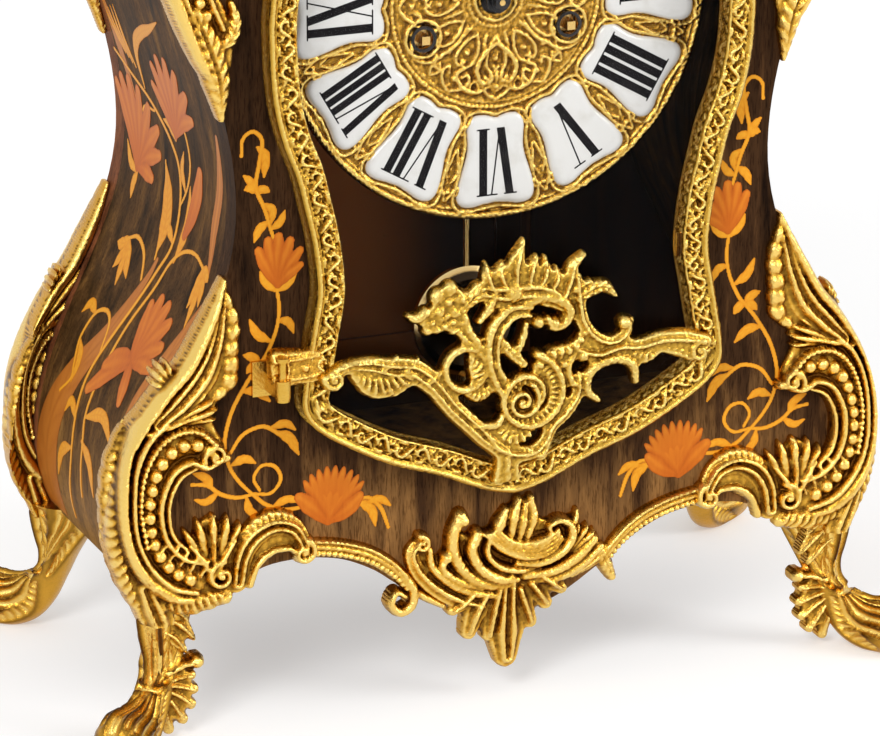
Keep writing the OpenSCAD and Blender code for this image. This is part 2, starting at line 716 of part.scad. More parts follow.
module winding_rings() {
  color("#1a1816") for (x = [-arbor_dx, arbor_dx]) difference() {
    rod(x, dial_z - arbor_dz, dial_face - 0.8 - ring_t, dial_face - 0.8, ring_r);
    rod(x, dial_z - arbor_dz, dial_face - 3, dial_face, winding_hole_r);
  }
}

// Hand drawing: a ring, a waisted stem and a leaf tip, pointing up
module hand_drawing(l, w, boss) {
  circle(r = boss);
  polygon(concat(
    ribbon([[0, boss - 1], [0, l * 0.3], [0, l * 0.6]], [2.4, w * 0.5, 1.8])));
  half = curve([[0.9, l * 0.58], [w, l * 0.68], [w * 0.7, l * 0.78], [0.9, l * 0.86], [0.4, l]], 3);
  polygon(concat(half, mirrored(half)));
}
hour_angle = 55;
minute_angle = -60;
module hour_hand() {
  color("#141210") {
    difference() {
      union() {
        upright(hour_hand_y, hand_t) translate([0, dial_z]) rotate(hour_angle) hand_drawing(0.49 * dial_r, 4.6, 4.2);
        rod(0, dial_z, hour_hand_y - hand_t, dial_back + 0.9, hour_pipe_r);
      }
      rod(0, dial_z, hour_hand_y - 2, dial_back + 3, hour_pipe_in);
    }
    wheel(0, 0, dial_back + 0.9, 0.8, hour_teeth, hour_module,
      mesh_turn(90, mesh_turn(-90, 0, cannon_teeth, minute_teeth), minute_pinion_teeth, hour_teeth),
      hour_pipe_in);
  }
}
module minute_hand() {
  color("#141210") difference() {
    union() {
      upright(minute_hand_y, hand_t) translate([0, dial_z]) rotate(minute_angle) hand_drawing(0.8 * dial_r, 4, 3);
      rod(0, dial_z, minute_hand_y - hand_t, front_plate_y - 0.3, cannon_r);
      wheel_disc(0, 0, front_plate_y - 1.7, 1.2, cannon_teeth, cannon_module, 0);
    }
    rod(0, dial_z, minute_hand_y - 2, front_plate_y + 1, arbor_r);
  }
}
module hand_nut() {
  color("#c89a3a") difference() {
    rod(0, dial_z, minute_hand_y - hand_t - 1.4, minute_hand_y - hand_t, 2.4);
    rod(0, dial_z, minute_hand_y - hand_t - 3, minute_hand_y, arbor_r);
  }
}

module plate_drawing() {
  translate([0, dial_z]) offset(r = 6) polygon([
    [6 - plate_half_w, 6 - plate_low], [plate_half_w - 6, 6 - plate_low],
    [plate_half_w - 6, plate_high - 6], [6 - plate_half_w, plate_high - 6]]);
}
module movement_plates() {
  color("#c8a04a") difference() {
    for (y = [inner_y, outer_y]) upright(y, plate_t) plate_drawing();
    for (x = [-arbor_dx, arbor_dx])
      rod(x, dial_z - arbor_dz, front_plate_y - 1, outer_y + 1, winding_r + run_gap);
    for (z = [0, swing_z]) rod(0, dial_z + z, front_plate_y - 1, outer_y + 1, arbor_r + run_gap);
    for (z = [third_dist, escape_z]) rod(0, dial_z + z, front_plate_y - 1, outer_y + 1, fine_r + run_gap);
    rod(0, dial_z - motion_dist, front_plate_y - 1, inner_y - 0.4, arbor_r);
    rod(hammer_x, dial_z + hammer_z, front_plate_y - 1, outer_y + 1, arbor_r + run_gap);
  }
}
pillar_x = plate_half_w - 5;
module movement_pillars() {
  color("#c8a04a") for (x = [-pillar_x, pillar_x], z = [5 - plate_low, plate_high - 5]) {
    rod(x, dial_z + z, inner_y, back_plate_y, 3);
    rod(x, dial_z + z, outer_y, outer_y + 2, 2.6);
  }
}
strap_z = 16;
strap_x = sight_r + board_open + 5;
module case_straps() {
  color("#c8a04a") both_sides() {
    translate([plate_half_w - 12, front_plate_y - 1.5, dial_z + strap_z])
      cube([strap_x - plate_half_w + 12, 1.5, 10]);
    translate([strap_x - 8, board_back, dial_z + strap_z]) cube([8, front_plate_y - board_back, 10]);
    rod(plate_half_w - 8, dial_z + strap_z + 5, front_plate_y - 3, front_plate_y - 1.5, 2.6);
  }
}

great_y = inner_y + 0.6;
great_t = 1.2;
drum_y = great_y + great_t;
drum_end = back_plate_y - 1;
arbor_angle = atan2(-arbor_dz, arbor_dx);
module barrel_drum(x) {
  rod(x, dial_z - arbor_dz, drum_y, drum_end, barrel_r);
}
module time_barrel() {
  color("#c8a04a") difference() {
    union() {
      barrel_drum(arbor_dx);
      wheel_disc(arbor_dx, -arbor_dz, great_y, great_t, great_teeth, great_module,
        mesh_turn(arbor_angle, 0, centre_pinion_teeth, great_teeth));
    }
    rod(arbor_dx, dial_z - arbor_dz, great_y - 1, drum_end + 1, winding_r + run_gap);
  }
}
module strike_barrel() {
  color("#c8a04a") difference() {
    union() {
      barrel_drum(-arbor_dx);
      wheel_disc(-arbor_dx, -arbor_dz, drum_end - great_t, great_t, strike_teeth, great_module, 0);
    }
    rod(-arbor_dx, dial_z - arbor_dz, great_y - 1, drum_end + 1, winding_r + run_gap);
  }
}
square_w = 2.8;
module winding_arbor(x) {
  color("#8d8f92") {
    rod(x, dial_z - arbor_dz, dial_back + 1, outer_y + 0.3, winding_r);
    translate([x - square_w / 2, dial_face - 3.4, dial_z - arbor_dz - square_w / 2])
      cube([square_w, dial_back + 1 - dial_face + 3.4, square_w]);
    rod(x, dial_z - arbor_dz, dial_back + 1, front_plate_y - 1, winding_r + 0.9);
  }
}
module time_winding_arbor() { winding_arbor(arbor_dx); }
module strike_winding_arbor() { winding_arbor(-arbor_dx); }

centre_y = inner_y + 4;
third_y = inner_y + 6.4;
third_turn = mesh_turn(90, 0, centre_teeth, third_pinion_teeth);
module centre_wheel() {
  color("#c8a04a") {
    rod(0, dial_z, minute_hand_y - hand_t - 1.6, outer_y + 0.3, arbor_r);
    wheel(0, 0, great_y - 0.1, great_t + 0.2, centre_pinion_teeth, great_module, 0, arbor_r);
    wheel(0, 0, centre_y, 0.8, centre_teeth, train_module, 0, arbor_r);
  }
}
module minute_wheel() {
  turn = mesh_turn(-90, 0, cannon_teeth, minute_teeth);
  color("#c8a04a") {
    wheel_disc(0, -motion_dist, front_plate_y - 1.5, 0.8, minute_teeth, cannon_module, turn);
    wheel_disc(0, -motion_dist, dial_back + 0.7, front_plate_y - dial_back - 1.4, minute_pinion_teeth,
      hour_module, turn);
    rod(0, dial_z - motion_dist, dial_back + 0.5, inner_y - 0.4, arbor_r - run_gap);
  }
}
module third_wheel() {
  color("#c8a04a") {
    rod(0, dial_z + third_dist, front_plate_y + 0.2, outer_y + 0.3, fine_r);
    wheel_disc(0, third_dist, centre_y - 0.5, 1.8, third_pinion_teeth, train_module, third_turn);
    wheel_disc(0, third_dist, third_y, 0.8, third_teeth, train_module, 0);
  }
}
module escape_wheel() {
  color("#c8a04a") {
    rod(0, dial_z + escape_z, front_plate_y + 0.2, outer_y + 0.3, fine_r);
    translate([0, centre_y + 0.6, dial_z + escape_z]) rotate([90, 0, 0]) linear_extrude(height = 0.6)
      polygon([for (i = [0:escape_teeth - 1], k = [0:1])
        let (a = 360 / escape_teeth * (i + 0.55 * k), r = k == 0 ? escape_r : escape_r - 1.6)
        r * [cos(a), sin(a)]]);
    wheel_disc(0, escape_z, third_y - 1.3, 0.9, escape_pinion_teeth, train_module, 0);
  }
}
module anchor() {
  fork_y = rod_y - 2;
  color("#8d8f92") {
    rod(0, dial_z + swing_z, inner_y + 0.2, fork_y - 0.5, arbor_r);
    upright(centre_y + 0.9, 1.2) translate([0, dial_z]) {
      both_sides() polygon(ribbon([[0, swing_z], [7, swing_z - 4],
        anchor_reach * [sin(58), cos(58)] + [0, escape_z]], [3.4, 2.4, 1]));
      translate([0, swing_z]) circle(r = 2.4);
    }
    upright(fork_y, 1) translate([0, dial_z + swing_z]) polygon(ribbon([[0, 1], [0, -10], [0, -20]], [4, 2, 6]));
    for (x = [-rod_r - 0.6 - open_gap, rod_r + 0.6 + open_gap])
      rod(x, dial_z + swing_z - 19, fork_y, rod_y + 2, 0.6);
  }
}
module suspension() {
  color("#c8a04a") {
    difference() {
      translate([-6, outer_y, dial_z + swing_z + 2.5]) cube([12, rod_y - outer_y + 4, 6]);
      translate([-0.15, rod_y - 3, dial_z + swing_z]) cube([0.3, 6, 8]);
    }
    translate([-0.15, rod_y - 1.5, dial_z + swing_z + 0.3]) cube([0.3, 4.5, 8]);
  }
}
module pendulum_rod() {
  tip_z = dial_z - bob_drop - bob_r - 10;
  color("#b88a30") {
    translate([0, rod_y, tip_z]) cylinder(h = dial_z + swing_z - 1 - tip_z, r = rod_r);
    translate([0, rod_y, dial_z - bob_drop - bob_r - 4]) cylinder(h = 4, r = 3.2);
  }
}
module pendulum_bob() {
  rim = bob_r - 4;
  color("#c8912e") difference() {
    translate([0, rod_y + bob_t / 2, dial_z - bob_drop]) rotate([90, 0, 0]) rotate_extrude()
      polygon([[0, 0.8], [rim, 0.8], [bob_r, bob_t / 2 - 1], [bob_r, bob_t / 2 + 1],
        [rim, bob_t - 0.8], [0, bob_t - 0.8]]);
    translate([0, rod_y, dial_z - bob_drop - 2 * bob_r]) cylinder(h = 4 * bob_r, r = rod_r + run_gap);
  }
}
module hammer() {
  color("#8d8f92") {
    rod(hammer_x, dial_z + hammer_z, inner_y + 0.2, outer_y + 4, arbor_r);
    upright(outer_y + 4, 1) translate([0, dial_z])
      polygon(ribbon([[hammer_x, hammer_z + 1], [hammer_x + 4, hammer_z - 10], [-19, 12]], [3.4, 2.4, 3]));
    rod(-19.5, dial_z + 12, outer_y + 3, bell_y + 4, 3);
  }
}
module bell() {
  profile = [[bell_r, 0], [bell_r, 2], [bell_r - 2, 8], [bell_r - 9, bell_h - 2], [0.1, bell_h]];
  inner = [[0.1, bell_h - bell_wall], [bell_r - 9.4, bell_h - 2 - bell_wall], [bell_r - 3.2, 8],
    [bell_r - bell_wall, 2], [bell_r - bell_wall, 0]];
  color("#b88a30") {
    translate([bell_x, bell_y, dial_z + bell_z]) rotate([-90, 0, 0]) rotate_extrude()
      polygon(concat(profile, inner));
    rod(bell_x, dial_z + bell_z, outer_y, bell_y + bell_h + 2, 2);
    rod(bell_x, dial_z + bell_z, bell_y + bell_h, bell_y + bell_h + 3, 4);
  }
}

front_board();
back_frame();
left_side_panel();
right_side_panel();
roof_panels();
base_board();
top_board();
front_left_corner_mount();
front_right_corner_mount();
rear_left_corner_mount();
rear_right_corner_mount();
front_left_leg();
front_right_leg();
rear_left_leg();
rear_right_leg();
front_left_shoulder_mount();
front_right_shoulder_mount();
rear_left_shoulder_mount();
rear_right_shoulder_mount();
apron_mount();
apron_mouldings();
crest_mount();
finial_plinth();
finial_vase();
finial_flame();
door_frame();
door_glass();
glass_clips();
door_ornament();
hinge_brackets();
hinge_pins();
door_catch();
back_door();
sound_grille();
back_door_hinges();
back_door_pins();
back_door_latch();
dial_plate();
numeral_plates();
winding_rings();
hour_hand();
minute_hand();
hand_nut();
movement_plates();
movement_pillars();
case_straps();
time_barrel();
strike_barrel();
time_winding_arbor();
strike_winding_arbor();
centre_wheel();
minute_wheel();
third_wheel();
escape_wheel();
anchor();
suspension();
pendulum_rod();
pendulum_bob();
hammer();
bell();
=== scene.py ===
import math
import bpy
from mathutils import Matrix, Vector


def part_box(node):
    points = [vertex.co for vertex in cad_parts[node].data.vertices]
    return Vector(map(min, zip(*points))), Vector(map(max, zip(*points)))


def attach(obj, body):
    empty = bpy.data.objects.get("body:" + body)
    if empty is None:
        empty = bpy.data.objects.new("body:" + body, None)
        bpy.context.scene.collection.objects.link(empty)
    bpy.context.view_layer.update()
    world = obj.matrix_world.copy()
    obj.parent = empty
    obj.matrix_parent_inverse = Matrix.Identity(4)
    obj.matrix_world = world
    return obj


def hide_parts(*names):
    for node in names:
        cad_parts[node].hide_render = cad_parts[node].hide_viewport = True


bl_info = {
    "name": "Carved table clock",
    "version": (1, 0, 0),
    "blender": (4, 5, 0),
    "location": "3D View > Sidebar > Clock",
    "description": "Dresses a waisted table clock with gilt mounts, flower inlay, an embossed dial and its movement",
    "category": "Object",
}

import bpy
import numpy as np
from mathutils import Vector

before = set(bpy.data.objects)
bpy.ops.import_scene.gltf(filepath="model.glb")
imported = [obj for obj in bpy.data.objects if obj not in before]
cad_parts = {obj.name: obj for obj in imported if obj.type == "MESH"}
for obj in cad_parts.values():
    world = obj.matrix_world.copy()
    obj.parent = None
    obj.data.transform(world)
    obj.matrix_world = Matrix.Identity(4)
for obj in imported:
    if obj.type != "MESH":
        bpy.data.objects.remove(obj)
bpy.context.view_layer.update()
MM = 0.001

# ---------------------------------------------------------------- sizes, in millimetres
# Heights in the drawings are counted from the middle of the dial, y from the middle of the case.
DIAL_Z = 240.0
DIAL_Y = -50.0
DIAL_R = 75.0
WINDING_X, WINDING_Z = 25.7, -11.0
FRONT_Y = -60.0
BELLY_Z, BELLY_W = 72.0, 128.0
WAIST_Z, WAIST_W = 182.0, 94.5
SHOULDER_Z, SHOULDER_W = 275.0, 111.0
CASE_TOP, CREST_W = 374.0, 46.0
FOOT_H, FOOT_DRAW = 46.0, 6.0
# The corner and shoulder mounts bend back round the case's edge: they start before it, over a width, by a drop.
BEND_START, BEND_W, BEND_DROP = 3.0, 18.0, 11.0
MOUNT_SCALE = 0.75
INLAY_DEPTH = 0.3
SIGHT_R = 76.0
DOOR_BACK, DOOR_DEPTH, DOOR_FACE_W = -60.5, 6.9, 9.5
SCROLL_PITCH, FRAME_DOTS, DIAL_DOTS = 7.4, 4600, 5200
ORNAMENT_FRONT, ORNAMENT_BACK = -69.4, -68.4
LUG_FRONT, LUG_BACK = -67.6, -65.4
URN_Z, URN_H = 407.0, 48.0
LEG_X, LEG_Y, TOE_END = 118.0, 51.0, 41.4
# The legs' carving is drawn flat, this far to each side, and sunk a little into the leg.
LEG_ROUND, LEG_SUNK = 30.0, 0.9
BOB_Z, BOB_R = 122.0, 19.2

# ---------------------------------------------------------------- floor, sky and camera, in metres and degrees
FLOOR_HALF, FLOOR_GREY, FLOOR_GLOW = 6.0, 0.74, 0.38
SKY_LIGHT, SKY_SEEN = 0.65, 1.0
LAMP_AIM = (0, 0, 0.15)
CAMERA_AIM, CAMERA_AWAY = (-0.0195, -0.050, 0.1149), 2.0013
CAMERA_SIDE, CAMERA_RISE = 21.78, 18.41
LENS, FILM = 246.1, 36


def half_width(z):
    """Half width of the case at heights z over the floor."""
    z = np.asarray(z, float)

    def ease(a, b, t):
        return a + (b - a) * (1 - np.cos(np.pi * np.clip(t, 0, 1))) / 2

    w = BELLY_W - FOOT_DRAW * (np.clip(BELLY_Z - z, 0, None) / (BELLY_Z - FOOT_H)) ** 2
    w = np.where(z > BELLY_Z, ease(BELLY_W, WAIST_W, (z - BELLY_Z) / (WAIST_Z - BELLY_Z)), w)
    w = np.where(z > WAIST_Z, ease(WAIST_W, SHOULDER_W, (z - WAIST_Z) / (SHOULDER_Z - WAIST_Z)), w)
    return np.where(z > SHOULDER_Z, ease(SHOULDER_W, CREST_W, (z - SHOULDER_Z) / (CASE_TOP - SHOULDER_Z)), w)


# ---------------------------------------------------------------- lines
def curve(points, step=0.5):
    """Points every step along a smooth line through the given points."""
    p = np.array(points, float)
    q = np.vstack([2 * p[0] - p[1], p, 2 * p[-1] - p[-2]])
    t = np.linspace(0, 1, 12, endpoint=False)[:, None]
    out = []
    for a, b, c, d in zip(q, q[1:], q[2:], q[3:]):
        out.append(0.5 * (2 * b + (c - a) * t + (2 * a - 5 * b + 4 * c - d) * t**2 + (3 * b - a - 3 * c + d) * t**3))
    return even(np.vstack(out + [p[-1:]]), step)


def even(points, step):
    """Points every step along straight lines through the given points."""
    p = np.array(points, float)
    run = run_of(p)
    s = np.linspace(0, run[-1], max(3, int(run[-1] / step) + 1))
    return np.stack([np.interp(s, run, p[:, k]) for k in range(p.shape[1])], 1)


def bowed(root, tip, across=0.0, up=0.0):
    """A line from root to tip whose middle is pushed aside."""
    return [root, ((root[0] + tip[0]) / 2 + across, (root[1] + tip[1]) / 2 + up), tip]


def run_of(points):
    """Distance along a line at each of its points."""
    return np.concatenate([[0], np.cumsum(np.linalg.norm(np.diff(points, axis=0), axis=1))])


def spiral(x, z, r0, r1, start, turns, step=0.5):
    """Points of a volute round x, z from radius r0 to r1; positive turns run anticlockwise."""
    n = max(8, int(abs(turns) * 2 * np.pi * (r0 + r1) / 2 / step))
    t = np.linspace(0, 1, n)
    a = np.radians(start) + turns * 2 * np.pi * t
    r = r0 + (r1 - r0) * t**0.8
    return np.stack([x + r * np.cos(a), z + r * np.sin(a)], 1)


# ---------------------------------------------------------------- cuts of the carver's tools
# Each gives a share of the stroke's height at s across it, from -1 to 1, and at run millimetres along it.
def dome(s, run):
    return np.sqrt(np.clip(1 - s * s, 0, 1))


def slope(s, run):
    return np.clip(1 - np.abs(s), 0, 1)


def ridge(s, run):
    return slope(s, run) ** 0.7


def leaf(pitch=3.0, depth=0.35, lean=0.9):
    """A sunk midrib and slanting veins every pitch millimetres."""

    def shape(s, run):
        a = np.abs(s)
        vein = np.abs(np.sin(np.pi * (run / pitch - lean * a)))
        rib = 1 - 0.35 * np.exp(-((a / 0.14) ** 2))
        return dome(s, run) * rib * (1 - depth * (1 - vein) * np.clip(a * 3, 0, 1))

    return shape


def flutes(count=3, depth=0.45):
    """Grooves that run along the stroke."""

    def shape(s, run):
        return dome(s, run) * (1 - depth * (0.5 - 0.5 * np.cos(np.pi * count * (s + 1))))

    return shape


def ribs(pitch=2.0, depth=0.5, lean=0.0):
    """Cross ribs, as on a scalloped edge."""

    def shape(s, run):
        return dome(s, run) * (1 - depth + depth * np.abs(np.sin(np.pi * (run / pitch + lean * s))))

    return shape


def spread(values, t):
    """Values spread evenly along a line, at shares t of its length."""
    v = np.atleast_1d(np.asarray(values, float))
    return np.interp(t, np.linspace(0, 1, len(v)), v)


def blurred(h, n):
    """Box blur over 2 n + 1 cells each way."""
    pad = np.pad(h, n, mode="edge")
    total = np.cumsum(np.cumsum(np.pad(pad, ((1, 0), (1, 0))), 0), 1)
    k = 2 * n + 1
    return (total[k:, k:] - total[:-k, k:] - total[k:, :-k] + total[:-k, :-k]) / k**2


class Relief:
    """A casting as a height over its back, on a grid in X and Z; below zero there is no metal."""

    def __init__(self, x0, x1, z0, z1, step, fat=1.0):
        self.step = step
        self.fat = fat
        self.x = np.arange(x0, x1 + step / 2, step)
        self.z = np.arange(z0, z1 + step / 2, step)
        self.h = np.full((len(self.z), len(self.x)), -2.0)

    def window(self, x0, x1, z0, z1):
        a, b = np.searchsorted(self.z, (z0, z1))
        c, d = np.searchsorted(self.x, (x0, x1))
        return slice(a, b + 1), slice(c, d + 1)

    def offsets(self, x, z, reach):
        """The window round x, z, and each of its cells' offset from there."""
        win = self.window(x - reach, x + reach, z - reach, z + reach)
        return win, self.x[win[1]][None, :] - x, self.z[win[0]][:, None] - z

    def add(self, win, h):
        self.h[win] = np.maximum(self.h[win], h)

    def stroke(self, points, width, height, shape=dome, scallop=0.0, pitch=3.0, smooth=True):
        """Lays metal along a line; width and height are lists spread evenly along it."""
        line = curve(points, self.step) if smooth else even(points, self.step)
        run = run_of(line)
        t = run / run[-1]
        half = spread(width, t) / 2 * self.fat
        tall = spread(height, t)
        if scallop:
            half = half * (1 + scallop * (np.abs(np.sin(np.pi * run / pitch)) - 0.6))
        ahead = np.gradient(line, axis=0)
        ahead /= np.linalg.norm(ahead, axis=1)[:, None] + 1e-9
        reach = half.max() + 2.5 * self.step
        (x0, z0), (x1, z1) = line.min(0) - reach, line.max(0) + reach
        win = self.window(x0, x1, z0, z1)
        zs, xs = self.z[win[0]], self.x[win[1]]
        best = np.full((len(zs), len(xs)), 1e9)
        near = np.zeros(best.shape, int)
        for i, (px, pz) in enumerate(line):
            r = half[i] + 2.5 * self.step
            a, b = np.searchsorted(zs, (pz - r, pz + r))
            c, d = np.searchsorted(xs, (px - r, px + r))
            q = ((zs[a:b, None] - pz) ** 2 + (xs[None, c:d] - px) ** 2) / (half[i] + 0.3) ** 2
            cell = best[a:b, c:d]
            hit = q < cell
            cell[hit] = q[hit]
            near[a:b, c:d][hit] = i
        row, col = np.nonzero(best < 1e8)
        i = near[row, col]
        dx, dz = xs[col] - line[i, 0], zs[row] - line[i, 1]
        side = np.sign(dz * ahead[i, 0] - dx * ahead[i, 1] + 1e-12)
        s = side * np.hypot(dx, dz) / half[i]
        inner = tall[i] * shape(np.clip(s, -1, 1), run[i])
        out = np.full(best.shape, -2.0)
        out[row, col] = np.where(np.abs(s) < 1, inner, -(np.abs(s) - 1) * half[i])
        self.add(win, out)

    def pair(self, points, *look):
        """A stroke and its mirror image in x."""
        for s in (-1, 1):
            self.stroke([(x * s, z) for x, z in points], *look)

    def ball(self, x, z, r, height, base=0.0):
        win, dx, dz = self.offsets(x, z, r + 2 * self.step)
        d = np.hypot(dx, dz) / r
        self.add(win, np.where(d < 1, base + height * np.sqrt(np.clip(1 - d * d, 0, 1)), -(d - 1) * r))

    def beads(self, points, r, height, pitch, base=0.0, ends=0.0):
        line = curve(points, 0.2)
        run = run_of(line)
        count = max(1, int(round((run[-1] - 2 * ends) / pitch)))
        for s in np.linspace(ends, run[-1] - ends, count + 1):
            self.ball(np.interp(s, run, line[:, 0]), np.interp(s, run, line[:, 1]), r, height, base)

    def volute(self, x, z, r0, r1, start, turns, width, height, shape=dome, ball=0.0):
        self.stroke(spiral(x, z, r0, r1, start, turns, self.step), width, height, shape, smooth=False)
        if ball:
            self.ball(x, z, ball, np.atleast_1d(height)[-1])

    def shell(self, x, z, r, a0, a1, count, height, scallop=0.12, hollow=0.5, base=0.0):
        """A fan of ribs round x, z between the directions a0 and a1 in degrees."""
        win, dx, dz = self.offsets(x, z, r * (1 + scallop) + 2 * self.step)
        dist = np.hypot(dx, dz)
        half = (a1 - a0) / 2
        turn = (np.degrees(np.arctan2(dz, dx)) - (a0 + a1) / 2 + 180) % 360 - 180
        u = (turn + half) / (2 * half)
        rib = np.abs(np.sin(np.pi * u * count))
        reach = r * (1 + scallop * (rib - 1) * 1.5) * (1 - 0.12 * np.abs(2 * u - 1) ** 2)
        across = np.minimum(u, 1 - u) * 2 * np.radians(half) * dist
        edge = np.minimum(reach - dist, across)
        rise = (0.35 + 0.65 * np.clip(dist / reach, 0, 1) ** 0.8) * (1 - hollow + hollow * rib**0.7)
        rise = rise * np.sqrt(np.clip(edge / (0.12 * r), 0, 1))
        self.add(win, np.where(edge > 0, base + height * rise, edge))

    def flower(self, x, z, r, petals, height, start=90.0, base=0.0):
        """A small open flower with a round eye."""
        win, dx, dz = self.offsets(x, z, r + 2 * self.step)
        dist = np.hypot(dx, dz)
        wave = np.abs(np.cos(petals * (np.arctan2(dz, dx) - np.radians(start)) / 2))
        edge = r * (0.74 + 0.26 * wave**0.7) - dist
        rise = np.sqrt(np.clip(edge / (0.3 * r), 0, 1)) * (0.5 + 0.5 * wave**0.5) * (0.55 + 0.45 * dist / r)
        self.add(win, np.where(edge > 0, base + height * rise, edge))
        self.ball(x, z, 0.3 * r, 0.95 * height, base)

    def plate(self, points, height, bevel=1.5):
        """Fills an outline to a low, soft-edged height."""
        line = curve(list(points) + [points[0]], 1.0)[:-1]
        (x0, z0), (x1, z1) = line.min(0) - 2 * self.step, line.max(0) + 2 * self.step
        win = self.window(x0, x1, z0, z1)
        zz, xx = np.meshgrid(self.z[win[0]], self.x[win[1]], indexing="ij")
        inside = np.zeros(zz.shape, bool)
        dist = np.full(zz.shape, 1e9)
        for (ax, az), (bx, bz) in zip(line, np.roll(line, -1, 0)):
            if bz != az:
                inside ^= ((az > zz) != (bz > zz)) & (xx < (bx - ax) * (zz - az) / (bz - az) + ax)
            ex, ez = bx - ax, bz - az
            u = np.clip(((xx - ax) * ex + (zz - az) * ez) / (ex * ex + ez * ez + 1e-9), 0, 1)
            dist = np.minimum(dist, np.hypot(xx - ax - u * ex, zz - az - u * ez))
        b = np.clip(dist / bevel, 0, 1)
        self.add(win, np.where(inside, height * np.sqrt(b * (2 - b)), -dist))

    def web(self, reach=1.6, level=2.0, share=0.55):
        """Closes the small gaps between strokes with low metal."""
        n = max(1, int(round(reach / self.step)))
        cover = blurred(blurred((self.h > 0).astype(float), n), n)
        self.h = np.maximum(self.h, np.minimum((cover - share) * 10, level))

    def chase(self, depth):
        """The fine unevenness that the chaser's tools leave."""
        marks = np.random.default_rng(1).normal(size=self.h.shape)
        self.h = np.where(self.h > 0.4, self.h + depth * 4 * blurred(marks, 1), self.h)

    def cells(self, x, z):
        """Row and column of the cells nearest to the places x, z."""
        return (np.clip(np.round((z - self.z[0]) / self.step).astype(int), 0, len(self.z) - 1),
                np.clip(np.round((x - self.x[0]) / self.step).astype(int), 0, len(self.x) - 1))

    def pierce(self, x, z, r):
        """Bores a clean round hole."""
        win, dx, dz = self.offsets(x, z, r + 3 * self.step)
        self.h[win] = np.minimum(self.h[win], (np.hypot(dx, dz) - r) * 3)

    def hollows(self, reach=1.4, scale=1.1):
        """How high each cell stands over its surroundings: 0 in a crevice, 1 on a crest."""
        h = np.clip(self.h, 0, None)
        n = max(1, int(round(reach / self.step)))
        return np.clip(0.5 + (h - blurred(blurred(h, n), n)) / (2 * scale), 0, 1)


# ---------------------------------------------------------------- meshes
SLIVER = 0.06  # the least share of a cell's side that the rim cuts off


def cut_out(rel, shade, rim_tone=0.5):
    """Points, faces and rim of a relief: whole cells inside, clipped triangles along the rim."""
    h, inside = rel.h, rel.h > 0
    index = np.full(h.shape, -1)
    count = int(inside.sum())
    index[inside] = np.arange(count)
    row, col = np.nonzero(inside)
    c00, c01, c11, c10 = inside[:-1, :-1], inside[:-1, 1:], inside[1:, 1:], inside[1:, :-1]
    full = c00 & c01 & c11 & c10
    a, b = np.nonzero(full)
    faces = np.stack([index[a, b], index[a, b + 1], index[a + 1, b + 1], index[a + 1, b]], 1).tolist()
    extra, found, rim = [], {}, []

    def crossing(p, q):
        if (p, q) not in found:
            t = min(max(h[p] / (h[p] - h[q]), SLIVER), 1 - SLIVER)
            found[p, q] = count + len(extra)
            extra.append((rel.x[p[1]] * (1 - t) + rel.x[q[1]] * t, rel.z[p[0]] * (1 - t) + rel.z[q[0]] * t))
        return found[p, q]

    for a, b in np.argwhere((c00 | c01 | c11 | c10) & ~full).tolist():
        corner = ((a, b), (a, b + 1), (a + 1, b + 1), (a + 1, b))
        for tri in ((0, 1, 2), (0, 2, 3)):
            loop, leave, enter = [], None, None
            for k in range(3):
                p, q = corner[tri[k]], corner[tri[(k + 1) % 3]]
                if inside[p]:
                    loop.append(int(index[p]))
                    if not inside[q]:
                        leave = crossing(p, q)
                        loop.append(leave)
                elif inside[q]:
                    enter = crossing(q, p)
                    loop.append(enter)
            if len(loop) > 2:
                faces.append(loop)
            if leave is not None:
                rim.append((leave, enter))
    edge = np.array(extra).reshape(-1, 2)
    x = np.concatenate([rel.x[col], edge[:, 0]])
    z = np.concatenate([rel.z[row], edge[:, 1]])
    tall = np.concatenate([h[inside], np.zeros(len(edge))])
    tone = np.concatenate([shade[inside], np.full(len(edge), rim_tone)])
    return x, z, tall, tone, faces, rim


def closed(front, back, faces, rim):
    """Joins a front and a back skin of the same faces along their rim."""
    n = len(front)
    skin = faces + [[i + n for i in reversed(f)] for f in faces] + [[b, a, a + n, b + n] for a, b in rim]
    return np.vstack([front, back]), skin


def mesh_piece(name, points, faces, material, body, slot, tone=None, replaces=(), sharp=50.0):
    """One object from points in millimetres; tone is kept as the attribute hollow."""
    mesh = bpy.data.meshes.new(name)
    mesh.from_pydata((np.asarray(points) * MM).tolist(), [], faces)
    mesh.validate()
    mesh.shade_smooth()
    if tone is not None:
        layer = mesh.attributes.new("hollow", "FLOAT", "POINT")
        layer.data.foreach_set("value", np.asarray(tone, np.float32))
    mesh.set_sharp_from_angle(angle=math.radians(sharp))
    mesh.materials.append(material)
    piece = bpy.data.objects.new(name, mesh)
    bpy.context.scene.collection.objects.link(piece)
    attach(piece, body)
    if replaces:
        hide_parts(*replaces)
    return piece


def mirrored(points, faces, across_x, across_y=False):
    """Points and faces on the other side of the case, turned so that the faces still look outwards."""
    p = np.array(points, float)
    if across_x:
        p[:, 0] *= -1
    if across_y:
        p[:, 1] *= -1
    return p, [f[::-1] for f in faces] if across_x != across_y else faces


def grid_faces(rows, cols):
    """Quads between rings of points, joined round."""
    i, j = np.arange(rows - 1)[:, None], np.arange(cols)[None, :]
    after = (j + 1) % cols
    corners = i * cols + j, i * cols + after, (i + 1) * cols + after, (i + 1) * cols + j
    return np.stack(corners, -1).reshape(-1, 4).tolist()


def capped(points, rows, cols):
    """A closed skin from rings of points, with a fan at each end."""
    first, last = points[:cols].mean(0), points[-cols:].mean(0)
    n = len(points)
    faces = grid_faces(rows, cols)
    faces += [[n, (j + 1) % cols, j] for j in range(cols)]
    end = (rows - 1) * cols
    faces += [[n + 1, end + j, end + (j + 1) % cols] for j in range(cols)]
    return np.vstack([points, first, last]), faces


